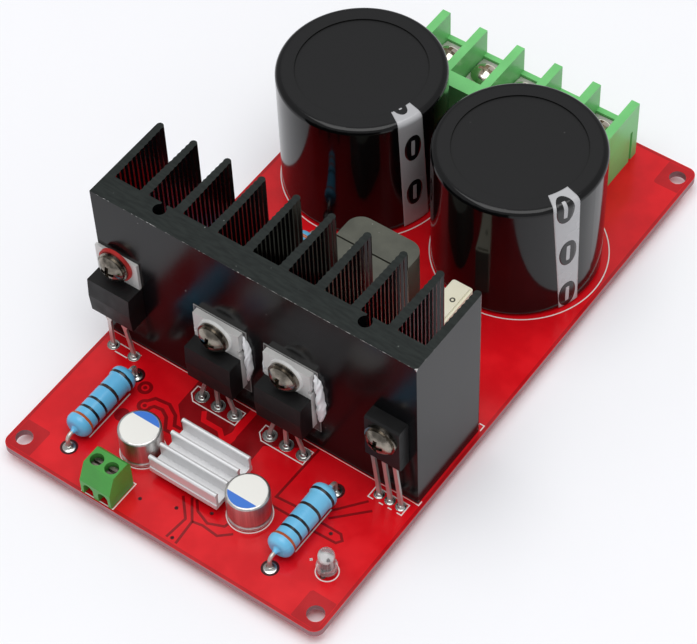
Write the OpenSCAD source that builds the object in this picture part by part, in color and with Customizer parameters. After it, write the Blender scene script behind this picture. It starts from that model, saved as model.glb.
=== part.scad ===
// Audio amplifier board: a power stage with a finned heatsink, two reservoir capacitors,
// a screw terminal strip for power and speaker, and a small terminal for the input.
// X runs left to right seen from the input edge, Y from the input edge to the power edge, Z up.
// The origin lies under the middle of the board, on the plane that the longest pins stand on.
// Heights of the parts are given from the upper face of the board.

/* [Board] */
// Width of the board
board_w = 70; // [69:0.5:80]
// Length of the board
board_l = 125; // [122:0.5:140]
// Thickness of the board
board_t = 1.6; // [1:0.1:2.4]
// Radius of the corners
board_corner_r = 2; // [0.5:0.1:2.4]
// Height of the underside over the surface that the board stands on
stand_h = 2.2; // [2:0.1:4]
// Diameter of the mounting holes
mount_d = 3.3; // [2.5:0.1:3.8]
// Mounting hole centre from the side edge
mount_in_x = 2.7; // [2.4:0.1:3.4]
// Mounting hole centre from the front or back edge
mount_in_y = 3.4; // [2.4:0.1:4]
// Diameter of the vias
via_d = 0.6; // [0.3:0.1:0.9]
// How much wider a lead hole is than its lead
lead_gap = 0.3; // [0.1:0.05:0.5]
// Length of the trimmed leads below the board
trim_l = 1.5; // [0.8:0.1:1.9]

/* [Main heatsink] */
// Width across the fins
sink_w = 68.6; // [64:0.2:69]
// Depth from the mounting face to the fin tips
sink_d = 19.5; // [14:0.5:21]
// Height of the extrusion
sink_h = 38.9; // [30:0.1:50]
// Thickness of the base plate
sink_base = 5; // [4.8:0.1:7]
// Mounting face from the front edge, as a share of the board's length
sink_share = 0.2524; // [0.25:0.0004:0.258]
// Middle of the heatsink, to the right of the board's middle
sink_x = -0.35; // [-0.6:0.05:0.6]
// Number of fins
fin_n = 10; // [6:1:12]
// Thickness of a fin at its root
fin_root = 2.05; // [1.6:0.05:2.6]
// Thickness of a fin at its tip
fin_tip = 1.45; // [1:0.05:1.6]
// Number of serrations on each side of a fin
tooth_n = 12; // [6:1:16]
// Depth of the serrations
tooth_h = 0.16; // [0.1:0.02:0.4]
// Distance between the two screw channels, as a share of the heatsink's width
channel_share = 0.63; // [0.6:0.005:0.66]
// Centre of a screw channel from the mounting face
channel_in = 3.5; // [2.6:0.1:3.6]
// Diameter of a screw channel
channel_d = 2.5; // [2.2:0.1:3]
// Width of the neck that opens a channel to its gap
channel_neck = 1.2; // [0.6:0.1:2]

/* [Fixing screws] */
// Diameter of the screws that hold the transistors
screw_d = 3; // [2.5:0.1:3.2]
// Diameter of the pan heads
head_d = 5.5; // [4.8:0.1:6]
// Height of the pan heads
head_h = 1.6; // [1.2:0.1:2]
// Diameter of the captive washers
washer_d = 6.3; // [6.1:0.1:7]
// Thickness of the captive washers
washer_t = 0.7; // [0.3:0.1:0.8]
// How deep the transistor screws reach into the heatsink
screw_reach = 4.2; // [3:0.1:4.4]
// How deep the screws from below reach into the channels
channel_reach = 8; // [5:0.5:14]
// Running gap around a screw in its hole
screw_gap = 0.06; // [0.02:0.01:0.1]

/* [Power transistors] */
// Distance between the middles of the two power transistors
mosfet_span = 15.3; // [14:0.1:17]
// Their middle, to the right of the board's middle
mosfet_x = -0.05; // [-1:0.05:1]
// Height of the fixing hole
mosfet_hole_z = 19.5; // [17:0.1:24]
// Width of the tab and the case
tab_w = 10; // [9.4:0.1:10.6]
// Thickness of the tab
tab_t = 1.25; // [1:0.05:1.5]
// Diameter of the hole in the tab
tab_hole_d = 3.8; // [3.6:0.1:4.2]
// Hole centre below the upper edge of the tab
tab_drop = 2.7; // [2.6:0.1:2.8]
// Height of the package from the upper edge of the tab to the lower edge of the case
package_h = 14.8; // [14.8:0.1:16]
// Height of the moulded case
case_h = 8.4; // [8.2:0.1:8.4]
// Thickness of the package
package_t = 4.7; // [4.2:0.1:4.8]
// Middle of the leads from the back of the tab
lead_plane = 2.8; // [2.4:0.1:3]
// Distance between the leads at the case
lead_pitch = 2.54; // [2.3:0.02:2.8]
// Distance between the leads at the board
pad_pitch = 3.7; // [3:0.1:4]
// Width of a lead
lead_w = 0.8; // [0.6:0.05:0.9]
// Thickness of a lead
lead_t = 0.5; // [0.4:0.05:0.6]
// Width of a lead's shoulder
shoulder_w = 1.3; // [1.1:0.1:1.5]
// Length of a lead's shoulder
shoulder_l = 2; // [1:0.1:2.4]
// Width of the insulating sheet
sheet_w = 11.6; // [10.4:0.1:13]
// Height of the insulating sheet
sheet_h = 17.2; // [16:0.1:18]
// Thickness of the insulating sheet
sheet_t = 0.15; // [0.1:0.05:0.3]
// Diameter of the insulating bush's flange
bush_d = 7; // [6.4:0.1:7.1]
// Thickness of the insulating bush's flange
bush_t = 0.55; // [0.4:0.05:0.8]

/* [Thermal switch] */
// Middle of the switch from the left end of the heatsink
thermal_in = 4.4; // [4.4:0.1:7]
// Height of the fixing hole
thermal_hole_z = 22.7; // [20:0.1:26]
// Width of the case and its bracket
thermal_w = 9.4; // [9:0.1:9.4]
// Height of the case
thermal_h = 8.5; // [8:0.1:9]
// Thickness of the case
thermal_t = 4.2; // [4:0.1:4.6]
// Hole centre over the upper face of the case
thermal_rise = 4.3; // [3.8:0.1:4.8]
// Thickness of the metal bracket
bracket_t = 0.6; // [0.4:0.1:0.9]
// Hole centre below the upper edge of the bracket
bracket_drop = 2.2; // [2:0.1:3]
// Distance between its two leads at the case
thermal_pitch = 3.6; // [3:0.1:4.4]
// Distance between its two leads at the board
thermal_pad = 4.8; // [4.4:0.1:5.4]
// How far the leads at the board stand to the right of the case's middle
thermal_set = 0.5; // [0:0.1:0.8]
// Diameter of the fibre washer
fibre_d = 7.1; // [6.4:0.1:7.1]
// Thickness of the fibre washer
fibre_t = 0.6; // [0.4:0.1:0.9]

/* [Driver transistor] */
// Middle of the driver transistor from the right end of the heatsink
driver_in = 5.45; // [4.2:0.05:7]
// Height of the fixing hole
driver_hole_z = 18.6; // [16:0.1:22]
// Width of the case
driver_w = 7.2; // [7:0.1:8.2]
// Height of the case
driver_h = 11; // [10.4:0.1:11.4]
// Thickness of the case
driver_t = 2.7; // [2.6:0.1:3.4]
// Hole centre below the upper edge of the case
driver_drop = 3.7; // [3.5:0.1:4.2]
// Distance between the leads
driver_pitch = 2.3; // [2.2:0.05:2.5]
// Middle of the leads from the back of the case
driver_plane = 2.2; // [1.2:0.1:2.3]
// How far the leads at the board stand to the right of the case's middle
driver_set = 1; // [0:0.1:1.2]

/* [Resistors] */
// Left resistor, to the right of the board's middle
left_res_x = -24.3; // [-26:0.1:-22]
// Right resistor, to the right of the board's middle
right_res_x = 20.5; // [19:0.1:22]
// Middle of the two front resistors from the front edge
res_in = 15.95; // [15:0.05:17]
// Length of a front resistor's body
res_l = 15; // [13:0.1:16]
// Diameter of a front resistor's end caps
res_d = 5.1; // [4.4:0.1:5.6]
// Distance between a front resistor's leads
res_pitch = 19.3; // [18.6:0.1:20.5]
// Rear resistor, to the right of the board's middle
rear_res_x = -16.4; // [-18:0.1:-15]
// Length of the rear resistor's body, as a share of the gap between fins and capacitors
rear_res_share = 0.51; // [0.44:0.01:0.52]
// Diameter of the rear resistor's end caps
rear_res_d = 4.2; // [3.8:0.1:4.6]
// Distance between the rear resistor's leads, as a share of the same gap
rear_pitch_share = 0.68; // [0.63:0.005:0.7]
// Diameter of the resistor wires
wire_d = 0.8; // [0.6:0.05:0.9]
// Gap between a resistor's body and the board
res_lift = 0.4; // [0.2:0.1:1]

/* [Input stage] */
// Left polymer capacitor, to the right of the board's middle
left_can_x = -12.95; // [-14:0.05:-12.6]
// Right polymer capacitor, to the right of the board's middle
right_can_x = 10.9; // [10.9:0.05:12]
// Polymer capacitors from the front edge
can_in = 13.3; // [13:0.1:14]
// Diameter of a polymer capacitor's can
can_d = 8; // [7.4:0.1:8.1]
// Height of a polymer capacitor's can
can_h = 6.9; // [6:0.1:9]
// Distance between a polymer capacitor's leads
can_pitch = 3.5; // [3:0.1:4]
// Diameter of the thin leads
thin_d = 0.6; // [0.4:0.05:0.7]
// Driver chip and its heatsink, to the right of the board's middle
chip_x = -0.85; // [-1:0.05:-0.5]
// Driver chip and its heatsink from the front edge
chip_in = 14.8; // [14:0.1:15.4]
// Length of the driver chip's case
chip_l = 9.9; // [9.6:0.1:10.6]
// Width of the driver chip's case
chip_w = 3.9; // [3.6:0.1:6]
// Height of the driver chip's upper face
chip_h = 1.9; // [1.6:0.1:2.6]
// Number of pins on each side of the chip
chip_pins_n = 8; // [4:1:8]
// Distance between the chip's pins
chip_pitch = 1.27; // [1.1:0.01:1.3]
// Length of the chip heatsink
cooler_l = 14.8; // [12:0.1:14.8]
// Depth of the chip heatsink
cooler_d = 10.4; // [9:0.1:11.4]
// Height of the chip heatsink
cooler_h = 4.2; // [3.4:0.1:6]
// Thickness of the chip heatsink's floor
cooler_floor = 1.1; // [0.8:0.1:1.5]
// Number of fins on the chip heatsink
cooler_fins = 4; // [3:1:5]
// Diameter of the beads along the fin tops
bead_d = 0.9; // [0.7:0.1:1.1]
// Light-emitting diode, to the right of the board's middle
led_x = 29; // [27:0.1:31]
// Light-emitting diode from the front edge
led_in = 11.3; // [9:0.1:14]
// Diameter of the light-emitting diode's lens
led_d = 3; // [2.8:0.1:3.2]
// Height of the light-emitting diode's lens
led_h = 5.3; // [4.5:0.1:6]
// Gap between the lens and the board
led_lift = 1.2; // [0.6:0.1:2]

/* [Input terminal] */
// Middle of the input terminal, to the right of the board's middle
in_x = -13; // [-14:0.1:-11]
// Front face of the input terminal from the front edge
in_inset = 0.2; // [0:0.1:0.6]
// Distance between its two ways
in_pitch = 3.3; // [3.2:0.05:3.8]
// Depth of the housing
in_d = 6.3; // [6.2:0.1:6.8]
// Height of the housing
in_h = 7.2; // [6.8:0.1:7.6]
// Depth of the screw heads below the upper face
in_sunk = 1.1; // [0.4:0.1:1.3]
// Lift of a clamping cage from open to closed
cage_lift = 1.2; // [0.8:0.1:1.2]

/* [Power terminal] */
// Number of ways
way_n = 5; // [3:1:6]
// Distance between the ways
way_pitch = 8.65; // [8.2:0.05:9.5]
// Thickness of the dividing walls
divider_t = 1.8; // [1.2:0.1:2]
// Middle of the strip, to the right of the board's middle
strip_x = -0.2; // [-1:0.1:1]
// Back of the strip from the back edge of the board
strip_inset = 2.55; // [0.5:0.05:2.9]
// Depth of the strip
strip_d = 16.2; // [16:0.1:16.6]
// Height of the strip
strip_h = 14; // [13.2:0.1:17]
// Depth of the solid ledge along the front
ledge_d = 3.4; // [2.4:0.1:4]
// Height of the low rail along the back
rail_h = 8; // [7.2:0.1:8.8]
// Diameter of the clamping screws
clamp_screw_d = 3; // [2.6:0.1:3.4]
// Diameter of the clamping screws' heads
clamp_head_d = 5.6; // [5:0.1:6]
// Side of the square clamping plates
clamp_w = 6.3; // [5.8:0.1:6.4]
// Thickness of the clamping plates
clamp_t = 0.8; // [0.6:0.1:1.2]

/* [Reservoir capacitors] */
// Diameter over the sleeve
cap_d = 32.2; // [28:0.1:32.6]
// Height of a capacitor
cap_h = 29; // [25:0.5:45]
// Diameter of the disc that the sleeve leaves free on top
disc_d = 25; // [20:0.5:27]
// Distance between the two capacitors
cap_span = 34.8; // [33:0.1:36]
// Middle of the pair, to the right of the board's middle
cap_x = -0.9; // [-1:0.1:1]
// Gap between the capacitors and the terminal strip
cap_gap = 0.9; // [0.5:0.1:1.2]
// Distance between a capacitor's pins
cap_pitch = 10; // [8:0.5:12]

/* [Output filter] */
// Middle of the output filter, as a share of the gap between fins and capacitors
middle_share = 0.52; // [0.48:0.01:0.54]
// Middle of the inductor, to the right of the board's middle
coil_x = 2.2; // [1:0.1:3.4]
// Width of the inductor's core
coil_w = 15.4; // [13:0.1:16]
// Depth of the inductor's core
coil_d = 13.2; // [11:0.1:14]
// Height of the inductor's core
coil_h = 16; // [12:0.5:20]
// Radius of the core's upright edges
coil_r = 3; // [1:0.1:4]
// Width of the joint between the two core halves
coil_gap = 0.35; // [0.2:0.05:0.6]
// Middle of the film capacitor, to the right of the board's middle
film_x = 18.1; // [16:0.1:20]
// Thickness of the film capacitor
film_w = 4.4; // [3.5:0.1:6]
// Length of the film capacitor
film_l = 13; // [10:0.5:14]
// Height of the film capacitor
film_h = 12; // [9:0.5:16]
// Distance between the film capacitor's leads
film_pitch = 10; // [7:0.5:10]

/* [Hidden] */
$fn = 48;
way_max = 6;
front_y = -board_l / 2;
back_y = board_l / 2;
top_z = stand_h + board_t;
trim_z = stand_h - trim_l;

// Main heatsink
sink_y = front_y + sink_share * board_l;
fin_y = sink_y + sink_d;
fin_l = sink_d - sink_base - fin_tip / 2;
fin_pitch = (sink_w - fin_tip) / (fin_n - 1);
fin_sunk = 0.5;
channel_span = channel_share * sink_w;
channel_screw_d = channel_d - 2 * screw_gap;
bore_d = screw_d + 2 * screw_gap;
blind_extra = 0.3;

// Screw heads
recess_w = 0.8;
recess_l = 2.9;
recess_depth = 1;
dome_share = 0.75;

// Power transistors and thermal switch
sheet_y = sink_y - sheet_t;
mosfet_lead_y = sheet_y - lead_plane;
mosfet_xs = [mosfet_x - mosfet_span / 2, mosfet_x + mosfet_span / 2];
thermal_x = sink_x - sink_w / 2 + thermal_in;
thermal_lead_y = sink_y - lead_plane;
thermal_top_z = thermal_hole_z - thermal_rise;
thermal_case_z = thermal_top_z - thermal_h;
mosfet_case_z = mosfet_hole_z + tab_drop - package_h;
case_draft = 0.3;
sheet_over = 0.4;
sheet_hole_d = screw_d + 0.5;
set_z = 1.2;
set_drop = 0.4;
notch_w = 0.5;
notch_h = 1.1;

// Driver transistor
driver_x = sink_x + sink_w / 2 - driver_in;
driver_lead_y = sink_y - driver_plane;
driver_case_z = driver_hole_z + driver_drop - driver_h;

// Power terminal, heights and depths from the board and the front face of the strip
strip_w = way_n * way_pitch + divider_t;
strip_y = back_y - strip_inset - strip_d;
way_w = way_pitch - divider_t;
well_d = 2.2;
well_z = 2;
rail_t = 1.2;
bed_drop = 1.4;
bed_z = rail_h - bed_drop;
plate_t = 0.9;
plate_gap = 0.15;
plate_y = strip_y + ledge_d + well_d;
plate_l = strip_d - ledge_d - well_d - rail_t;
clamp_screw_y = plate_y + plate_l / 2;
clamp_z = bed_z + plate_t;
clamp_head_h = 2.2;
clamp_screw_l = 6;
clamp_edge = 0.25;
strip_pin_w = 1.2;
strip_pin_y = plate_y + plate_gap + strip_pin_w / 2;
way_xs = [for (i = [0 : way_max - 1]) strip_x + (i - (way_n - 1) / 2) * way_pitch];

// Reservoir capacitors
cap_y = strip_y - cap_gap - cap_d / 2;
cap_xs = [cap_x - cap_span / 2, cap_x + cap_span / 2];
cap_pin_w = 1.5;
cap_pin_t = 0.8;
cap_edge = 1.1;
disc_depth = 0.25;

// Gap between the fin tips and the reservoir capacitors
middle_gap = cap_y - cap_d / 2 - fin_y;
middle_y = fin_y + middle_share * middle_gap;

// Resistors: place, body length, cap diameter and lead distance
res_y = front_y + res_in;
resistors = [
    [left_res_x, res_y, res_l, res_d, res_pitch],
    [right_res_x, res_y, res_l, res_d, res_pitch],
    [rear_res_x, middle_y, rear_res_share * middle_gap, rear_res_d, rear_pitch_share * middle_gap]
];
cap_share = 0.2;
cap_round = 0.42;
waist_share = 0.9;
bend_r = 1;

// Input stage
can_y = front_y + can_in;
can_xs = [left_can_x, right_can_x];
can_edge = 0.45;
crimp_z = 1.3;
crimp_r = 0.45;
chip_y = front_y + chip_in;
chip_foot = 1;
chip_lift = 0.15;
chip_pin_w = 0.42;
chip_pin_t = 0.2;
led_y = front_y + led_in;
led_pitch = 2.54;
led_lead = 0.5;
led_flange = 0.8;
led_flange_h = 1;
led_post = 0.5;
led_split = 0.6;

// Input terminal, heights and depths from the board and the front face
in_y = front_y + in_inset;
in_w = 2 * in_pitch + 0.1;
in_screw_y = in_y + 3.4;
in_screw_d = 1.7;
in_head_d = 2.3;
in_well_d = 2.6;
in_slot_w = 0.5;
cage_w = 2.3;
cage_d = 3.2;
cage_h = 3;
cage_t = 0.45;
cage_z = 0.9;
bus_z = 2.85;
bus_t = 0.5;
bus_w = 1.2;
in_gap = 0.1;
in_ceiling = cage_z + cage_h + cage_lift + in_gap;
in_head_z = in_ceiling + in_gap;
in_head_h = in_h - in_head_z - in_sunk;
in_pin_y = in_y + in_d - 0.75;
in_xs = [in_x - in_pitch / 2, in_x + in_pitch / 2];

// Output filter
coil_pin_d = 1.2;
coil_pitch = coil_w / 2;
film_edge = 0.5;

// Holes for leads in the board: place and width of the lead
function row(x, y, n, pitch, w) = [for (i = [0 : n - 1]) [x + (i - (n - 1) / 2) * pitch, y, w]];
function column(x, y, n, pitch, w) = [for (i = [0 : n - 1]) [x, y + (i - (n - 1) / 2) * pitch, w]];
flat_w = norm([lead_w, lead_t]);
lead_holes = concat(
    [for (x = mosfet_xs) each row(x, mosfet_lead_y, 3, pad_pitch, flat_w)],
    row(thermal_x + thermal_set, thermal_lead_y, 2, thermal_pad, flat_w),
    row(driver_x + driver_set, driver_lead_y, 3, driver_pitch, flat_w),
    [for (r = resistors) each column(r[0], r[1], 2, r[4], wire_d)],
    [for (x = can_xs) each column(x, can_y, 2, can_pitch, thin_d)],
    row(in_x, in_pin_y, 2, in_pitch, flat_w),
    row(strip_x, strip_pin_y, way_n, way_pitch, norm([strip_pin_w, plate_t])),
    [for (x = cap_xs) each row(x, cap_y, 2, cap_pitch, norm([cap_pin_w, cap_pin_t]))],
    row(coil_x, middle_y, 2, coil_pitch, coil_pin_d),
    column(film_x, middle_y, 2, film_pitch, wire_d),
    column(led_x, led_y, 2, led_pitch, norm([led_lead, led_lead]))
);
// Vias in the open copper, from the board's middle and its front edge
vias = [[-6.9, 4.8], [-0.4, 6.9], [2.8, 1.6], [5.4, 9.5], [25, 17.9]];

// Rectangle with round corners, centred
module round_rect(w, d, r) {
    square([w - 2 * r, d], center = true);
    square([w, d - 2 * r], center = true);
    for (x = [-1, 1], y = [-1, 1])
        translate([x * (w / 2 - r), y * (d / 2 - r)]) circle(r);
}

// Bar of round-edged section turned about its own length, standing on Z
module turned_bar(d, l, edge) {
    rotate_extrude()
        intersection() {
            translate([0, l / 2]) round_rect(d, l, edge);
            square([d, l]);
        }
}

// Turns what is drawn upright so that it stands out of the heatsink's mounting face
module on_face(x, y, z) {
    translate([x, y, top_z + z]) rotate([90, 0, 0]) children();
}

// Outline drawn in X and Z, carried along Y from y towards the front
module front_plate(y, t) {
    translate([0, y, 0]) rotate([90, 0, 0]) linear_extrude(t) children();
}

// Outline drawn in Y and Z, carried along X
module side_plate(x, w) {
    translate([x - w / 2, 0, 0]) rotate([90, 0, 90]) linear_extrude(w) children();
}

// Pan head with a cross recess, its seat at the origin and its crown up
module pan_head(d, h) {
    dome_r = (d * d / 4 + pow(h * dome_share, 2)) / (2 * h * dome_share);
    difference() {
        intersection() {
            cylinder(d = d, h = h);
            translate([0, 0, h - dome_r]) sphere(dome_r, $fn = 96);
        }
        for (a = [0, 90])
            rotate(a) translate([-recess_l / 2, -recess_w / 2, h - recess_depth])
                cube([recess_l, recess_w, recess_depth]);
    }
}

// Screw with its captive washer: the washer lies on the seat and the shank runs down
module washer_screw(reach) {
    translate([0, 0, washer_t]) pan_head(head_d, head_h);
    cylinder(d = washer_d, h = washer_t);
    translate([0, 0, -reach]) cylinder(d = screw_d, h = reach);
}

// Board
module circuit_board() {
    color("firebrick") difference() {
        translate([0, 0, stand_h]) linear_extrude(board_t) round_rect(board_w, board_l, board_corner_r);
        for (x = [-1, 1], y = [-1, 1])
            board_hole(x * (board_w / 2 - mount_in_x), y * (board_l / 2 - mount_in_y), mount_d);
        for (x = [-1, 1])
            board_hole(sink_x + x * channel_span / 2, sink_y + channel_in, channel_screw_d + lead_gap);
        for (h = lead_holes)
            board_hole(h[0], h[1], h[2] + lead_gap);
        for (v = vias)
            board_hole(v[0], front_y + v[1], via_d);
    }
}

module board_hole(x, y, d) {
    translate([x, y, 0]) cylinder(d = d, h = top_z + 1);
}

// Main heatsink: one side of a fin, flat or serrated, from root to tip
function fin_side(s, flat) = [
    for (i = flat ? [0, 2 * tooth_n] : [0 : 2 * tooth_n])
        let (v = i / (2 * tooth_n))
        let (half = flat ? fin_tip / 2 : (fin_root + (fin_tip - fin_root) * v) / 2)
        [s * (half - (i % 2) * tooth_h), v * fin_l]
];
function reversed(list) = [for (i = [len(list) - 1 : -1 : 0]) list[i]];

module fin(k) {
    right = fin_side(1, k == fin_n - 1);
    left = fin_side(-1, k == 0);
    tip = [for (a = [30 : 30 : 150]) [fin_tip / 2 * cos(a), fin_l + fin_tip / 2 * sin(a)]];
    root = [[left[0].x, -fin_sunk], [right[0].x, -fin_sunk]];
    translate([(k - (fin_n - 1) / 2) * fin_pitch, sink_base])
        polygon(concat(root, right, tip, reversed(left)));
}

module main_heatsink() {
    color([0.1, 0.1, 0.11]) difference() {
        translate([sink_x, sink_y, top_z]) linear_extrude(sink_h) difference() {
            union() {
                translate([-sink_w / 2, 0]) square([sink_w, sink_base]);
                for (k = [0 : fin_n - 1])
                    fin(k);
            }
            for (s = [-1, 1])
                translate([s * channel_span / 2, channel_in]) {
                    circle(d = channel_d);
                    translate([-channel_neck / 2, 0]) square([channel_neck, sink_base]);
                }
        }
        for (p = [[mosfet_xs[0], mosfet_hole_z], [mosfet_xs[1], mosfet_hole_z],
                  [thermal_x, thermal_hole_z], [driver_x, driver_hole_z]])
            on_face(p[0], sink_y, p[1])
                translate([0, 0, -screw_reach - blind_extra]) cylinder(d = bore_d, h = screw_reach + 1);
    }
}

// Screws from below the board into the channels, their heads standing on the ground plane
module heatsink_screws() {
    color("silver")
        for (s = [-1, 1])
            translate([sink_x + s * channel_span / 2, sink_y + channel_in, stand_h]) mirror([0, 0, 1]) {
                pan_head(head_d, stand_h);
                translate([0, 0, -board_t - channel_reach])
                    cylinder(d = channel_screw_d, h = board_t + channel_reach);
            }
}

// Flat-tab packages, drawn from the fixing hole: tab, moulded case and flat leads
module tab_plate(x, hole_z, y, t, hole_d) {
    top = hole_z + tab_drop;
    waist = top - package_h + case_h;
    front_plate(y, t) translate([x, top_z]) difference() {
        translate([-tab_w / 2, top - package_h]) square([tab_w, package_h]);
        for (s = [-1, 1])
            translate([s * tab_w / 2 - notch_w, waist + notch_h]) square([2 * notch_w, notch_h]);
        translate([0, hole_z]) circle(d = hole_d);
    }
}

// Case between the planes back and thick in front of y, its front drawn in a little to both ends
module moulded_case(x, w, low_z, h, y, back, thick) {
    side_plate(x, w) translate([y, top_z + low_z])
        polygon([
            [-back, 0], [-thick + case_draft, 0], [-thick, h / 2], [-thick + case_draft, h], [-back, h]
        ]);
}

module flat_lead(top_x, pad_x, case_z) {
    top = top_z + case_z;
    neck = top - shoulder_l;
    set = top_z + set_z;
    polygon([
        [top_x - shoulder_w / 2, top], [top_x + shoulder_w / 2, top],
        [top_x + shoulder_w / 2, neck], [top_x + lead_w / 2, neck - set_drop],
        [pad_x + lead_w / 2, set], [pad_x + lead_w / 2, trim_z],
        [pad_x - lead_w / 2, trim_z], [pad_x - lead_w / 2, set],
        [top_x - lead_w / 2, neck - set_drop], [top_x - shoulder_w / 2, neck]
    ]);
}

// Thermal switch at the left end of the mounting face, its bracket standing up out of the case
module thermal_switch_case() {
    color([0.13, 0.13, 0.14])
        moulded_case(thermal_x, thermal_w, thermal_case_z, thermal_h, sink_y, 0, thermal_t);
}

module thermal_switch_bracket() {
    color("gainsboro") front_plate(sink_y, bracket_t) translate([thermal_x, top_z + thermal_top_z]) difference() {
        translate([-thermal_w / 2, 0]) square([thermal_w, thermal_rise + bracket_drop]);
        translate([0, thermal_rise]) circle(d = bore_d);
    }
}

module thermal_switch_leads() {
    pad_x = thermal_x + thermal_set;
    color("silver") front_plate(thermal_lead_y + lead_t / 2, lead_t)
        for (s = [-1, 1])
            flat_lead(thermal_x + s * thermal_pitch / 2, pad_x + s * thermal_pad / 2, thermal_case_z);
}

module thermal_switch_washer() {
    color("firebrick") on_face(thermal_x, sink_y - bracket_t, thermal_hole_z) difference() {
        cylinder(d = fibre_d, h = fibre_t);
        translate([0, 0, -1]) cylinder(d = bore_d, h = fibre_t + 2);
    }
}

module thermal_switch_screw() {
    color("silver") on_face(thermal_x, sink_y - bracket_t - fibre_t, thermal_hole_z)
        washer_screw(bracket_t + fibre_t + screw_reach);
}

// Power transistors, i is 0 on the left and 1 on the right
module mosfet_case(i) {
    color([0.12, 0.12, 0.13])
        moulded_case(mosfet_xs[i], tab_w, mosfet_case_z, case_h, sheet_y, tab_t, package_t);
}

module mosfet_tab(i) {
    color("gainsboro") tab_plate(mosfet_xs[i], mosfet_hole_z, sheet_y, tab_t, tab_hole_d);
}

module mosfet_leads(i) {
    color("silver") front_plate(mosfet_lead_y + lead_t / 2, lead_t)
        for (k = [-1 : 1])
            flat_lead(mosfet_xs[i] + k * lead_pitch, mosfet_xs[i] + k * pad_pitch, mosfet_case_z);
}

module mosfet_insulator(i) {
    top = top_z + mosfet_hole_z + tab_drop + sheet_over;
    color([0.75, 0.74, 0.7]) front_plate(sink_y, sheet_t) difference() {
        translate([mosfet_xs[i] - sheet_w / 2, top - sheet_h]) square([sheet_w, sheet_h]);
        translate([mosfet_xs[i], top_z + mosfet_hole_z]) circle(d = sheet_hole_d);
    }
}

module mosfet_bush(i) {
    color("white") on_face(mosfet_xs[i], sheet_y - tab_t, mosfet_hole_z) difference() {
        union() {
            cylinder(d = bush_d, h = bush_t);
            translate([0, 0, -tab_t]) cylinder(d = tab_hole_d - 2 * screw_gap, h = tab_t);
        }
        translate([0, 0, -tab_t - 1]) cylinder(d = bore_d, h = tab_t + bush_t + 2);
    }
}

module mosfet_screw(i) {
    color("silver") on_face(mosfet_xs[i], sheet_y - tab_t - bush_t, mosfet_hole_z)
        washer_screw(sheet_t + tab_t + bush_t + screw_reach);
}

// Driver transistor at the right end of the mounting face
module driver_transistor_case() {
    bevel = 0.4;
    color([0.1, 0.1, 0.1]) difference() {
        side_plate(driver_x, driver_w) translate([sink_y, top_z + driver_case_z])
            polygon([
                [0, 0], [-driver_t + bevel, 0], [-driver_t, bevel],
                [-driver_t, driver_h - bevel], [-driver_t + bevel, driver_h], [0, driver_h]
            ]);
        on_face(driver_x, sink_y, driver_hole_z) translate([0, 0, -1]) cylinder(d = bore_d, h = driver_t + 2);
    }
}

// Leads that run straight out of the case, then lean over to their holes
module driver_transistor_leads() {
    high = top_z + driver_case_z;
    set = top_z + set_z;
    half = lead_w / 2;
    color("silver") front_plate(driver_lead_y + lead_t / 2, lead_t)
        for (k = [-1 : 1])
            translate([driver_x + k * driver_pitch, 0])
                polygon([
                    [-half, high], [half, high], [driver_set + half, set], [driver_set + half, trim_z],
                    [driver_set - half, trim_z], [driver_set - half, set]
                ]);
}

module driver_transistor_screw() {
    color("silver") on_face(driver_x, sink_y - driver_t, driver_hole_z) washer_screw(driver_t + screw_reach);
}

// Resistors lying along Y: waisted body with rounder end caps
module resistor_body(i) {
    r = resistors[i];
    l = r[2];
    cap_l = cap_share * l;
    color("steelblue") translate([r[0], r[1] - l / 2, res_axis_z(r)]) rotate([-90, 0, 0]) {
        turned_bar(r[3], cap_l, cap_round * cap_l);
        translate([0, 0, l - cap_l]) turned_bar(r[3], cap_l, cap_round * cap_l);
        translate([0, 0, cap_l / 2]) cylinder(d = waist_share * r[3], h = l - cap_l);
    }
}

function res_axis_z(r) = top_z + res_lift + r[3] / 2;

// One wire end: out of the body along Y, round a bend and down through the board
module resistor_lead(reach, high) {
    out = reach - bend_r;
    rotate([-90, 0, 0]) cylinder(d = wire_d, h = out, $fn = 24);
    translate([0, out, -bend_r]) rotate([0, -90, 0]) rotate_extrude(angle = 90, $fn = 24)
        translate([bend_r, 0]) circle(d = wire_d, $fn = 24);
    translate([0, reach, -high]) cylinder(d = wire_d, h = high - bend_r, $fn = 24);
}

module resistor_leads() {
    color("silver")
        for (r = resistors, s = [0, 1])
            translate([r[0], r[1], res_axis_z(r)]) mirror([0, s, 0]) translate([0, r[2] / 2, 0])
                resistor_lead((r[4] - r[2]) / 2, res_axis_z(r) - trim_z);
}

// Polymer capacitors: drawn can with a crimp above its rolled rim
module polymer_cap(i) {
    color("lightgray") translate([can_xs[i], can_y, top_z]) difference() {
        turned_bar(can_d, can_h, can_edge);
        translate([0, 0, crimp_z]) rotate_extrude()
            translate([can_d / 2 + crimp_r / 2, 0]) circle(crimp_r, $fn = 24);
    }
}

module polymer_cap_leads() {
    color("silver")
        for (x = can_xs, s = [-1, 1])
            translate([x, can_y + s * can_pitch / 2, trim_z])
                cylinder(d = thin_d, h = top_z - trim_z, $fn = 24);
}

// Driver chip under its own small heatsink
module driver_chip_case() {
    bevel = 0.3;
    mid = (chip_h + chip_lift) / 2;
    color([0.14, 0.14, 0.15]) side_plate(chip_x, chip_l) translate([chip_y, top_z])
        polygon([
            [-chip_w / 2 + bevel, chip_lift], [chip_w / 2 - bevel, chip_lift], [chip_w / 2, mid],
            [chip_w / 2 - bevel, chip_h], [-chip_w / 2 + bevel, chip_h], [-chip_w / 2, mid]
        ]);
}

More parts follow.
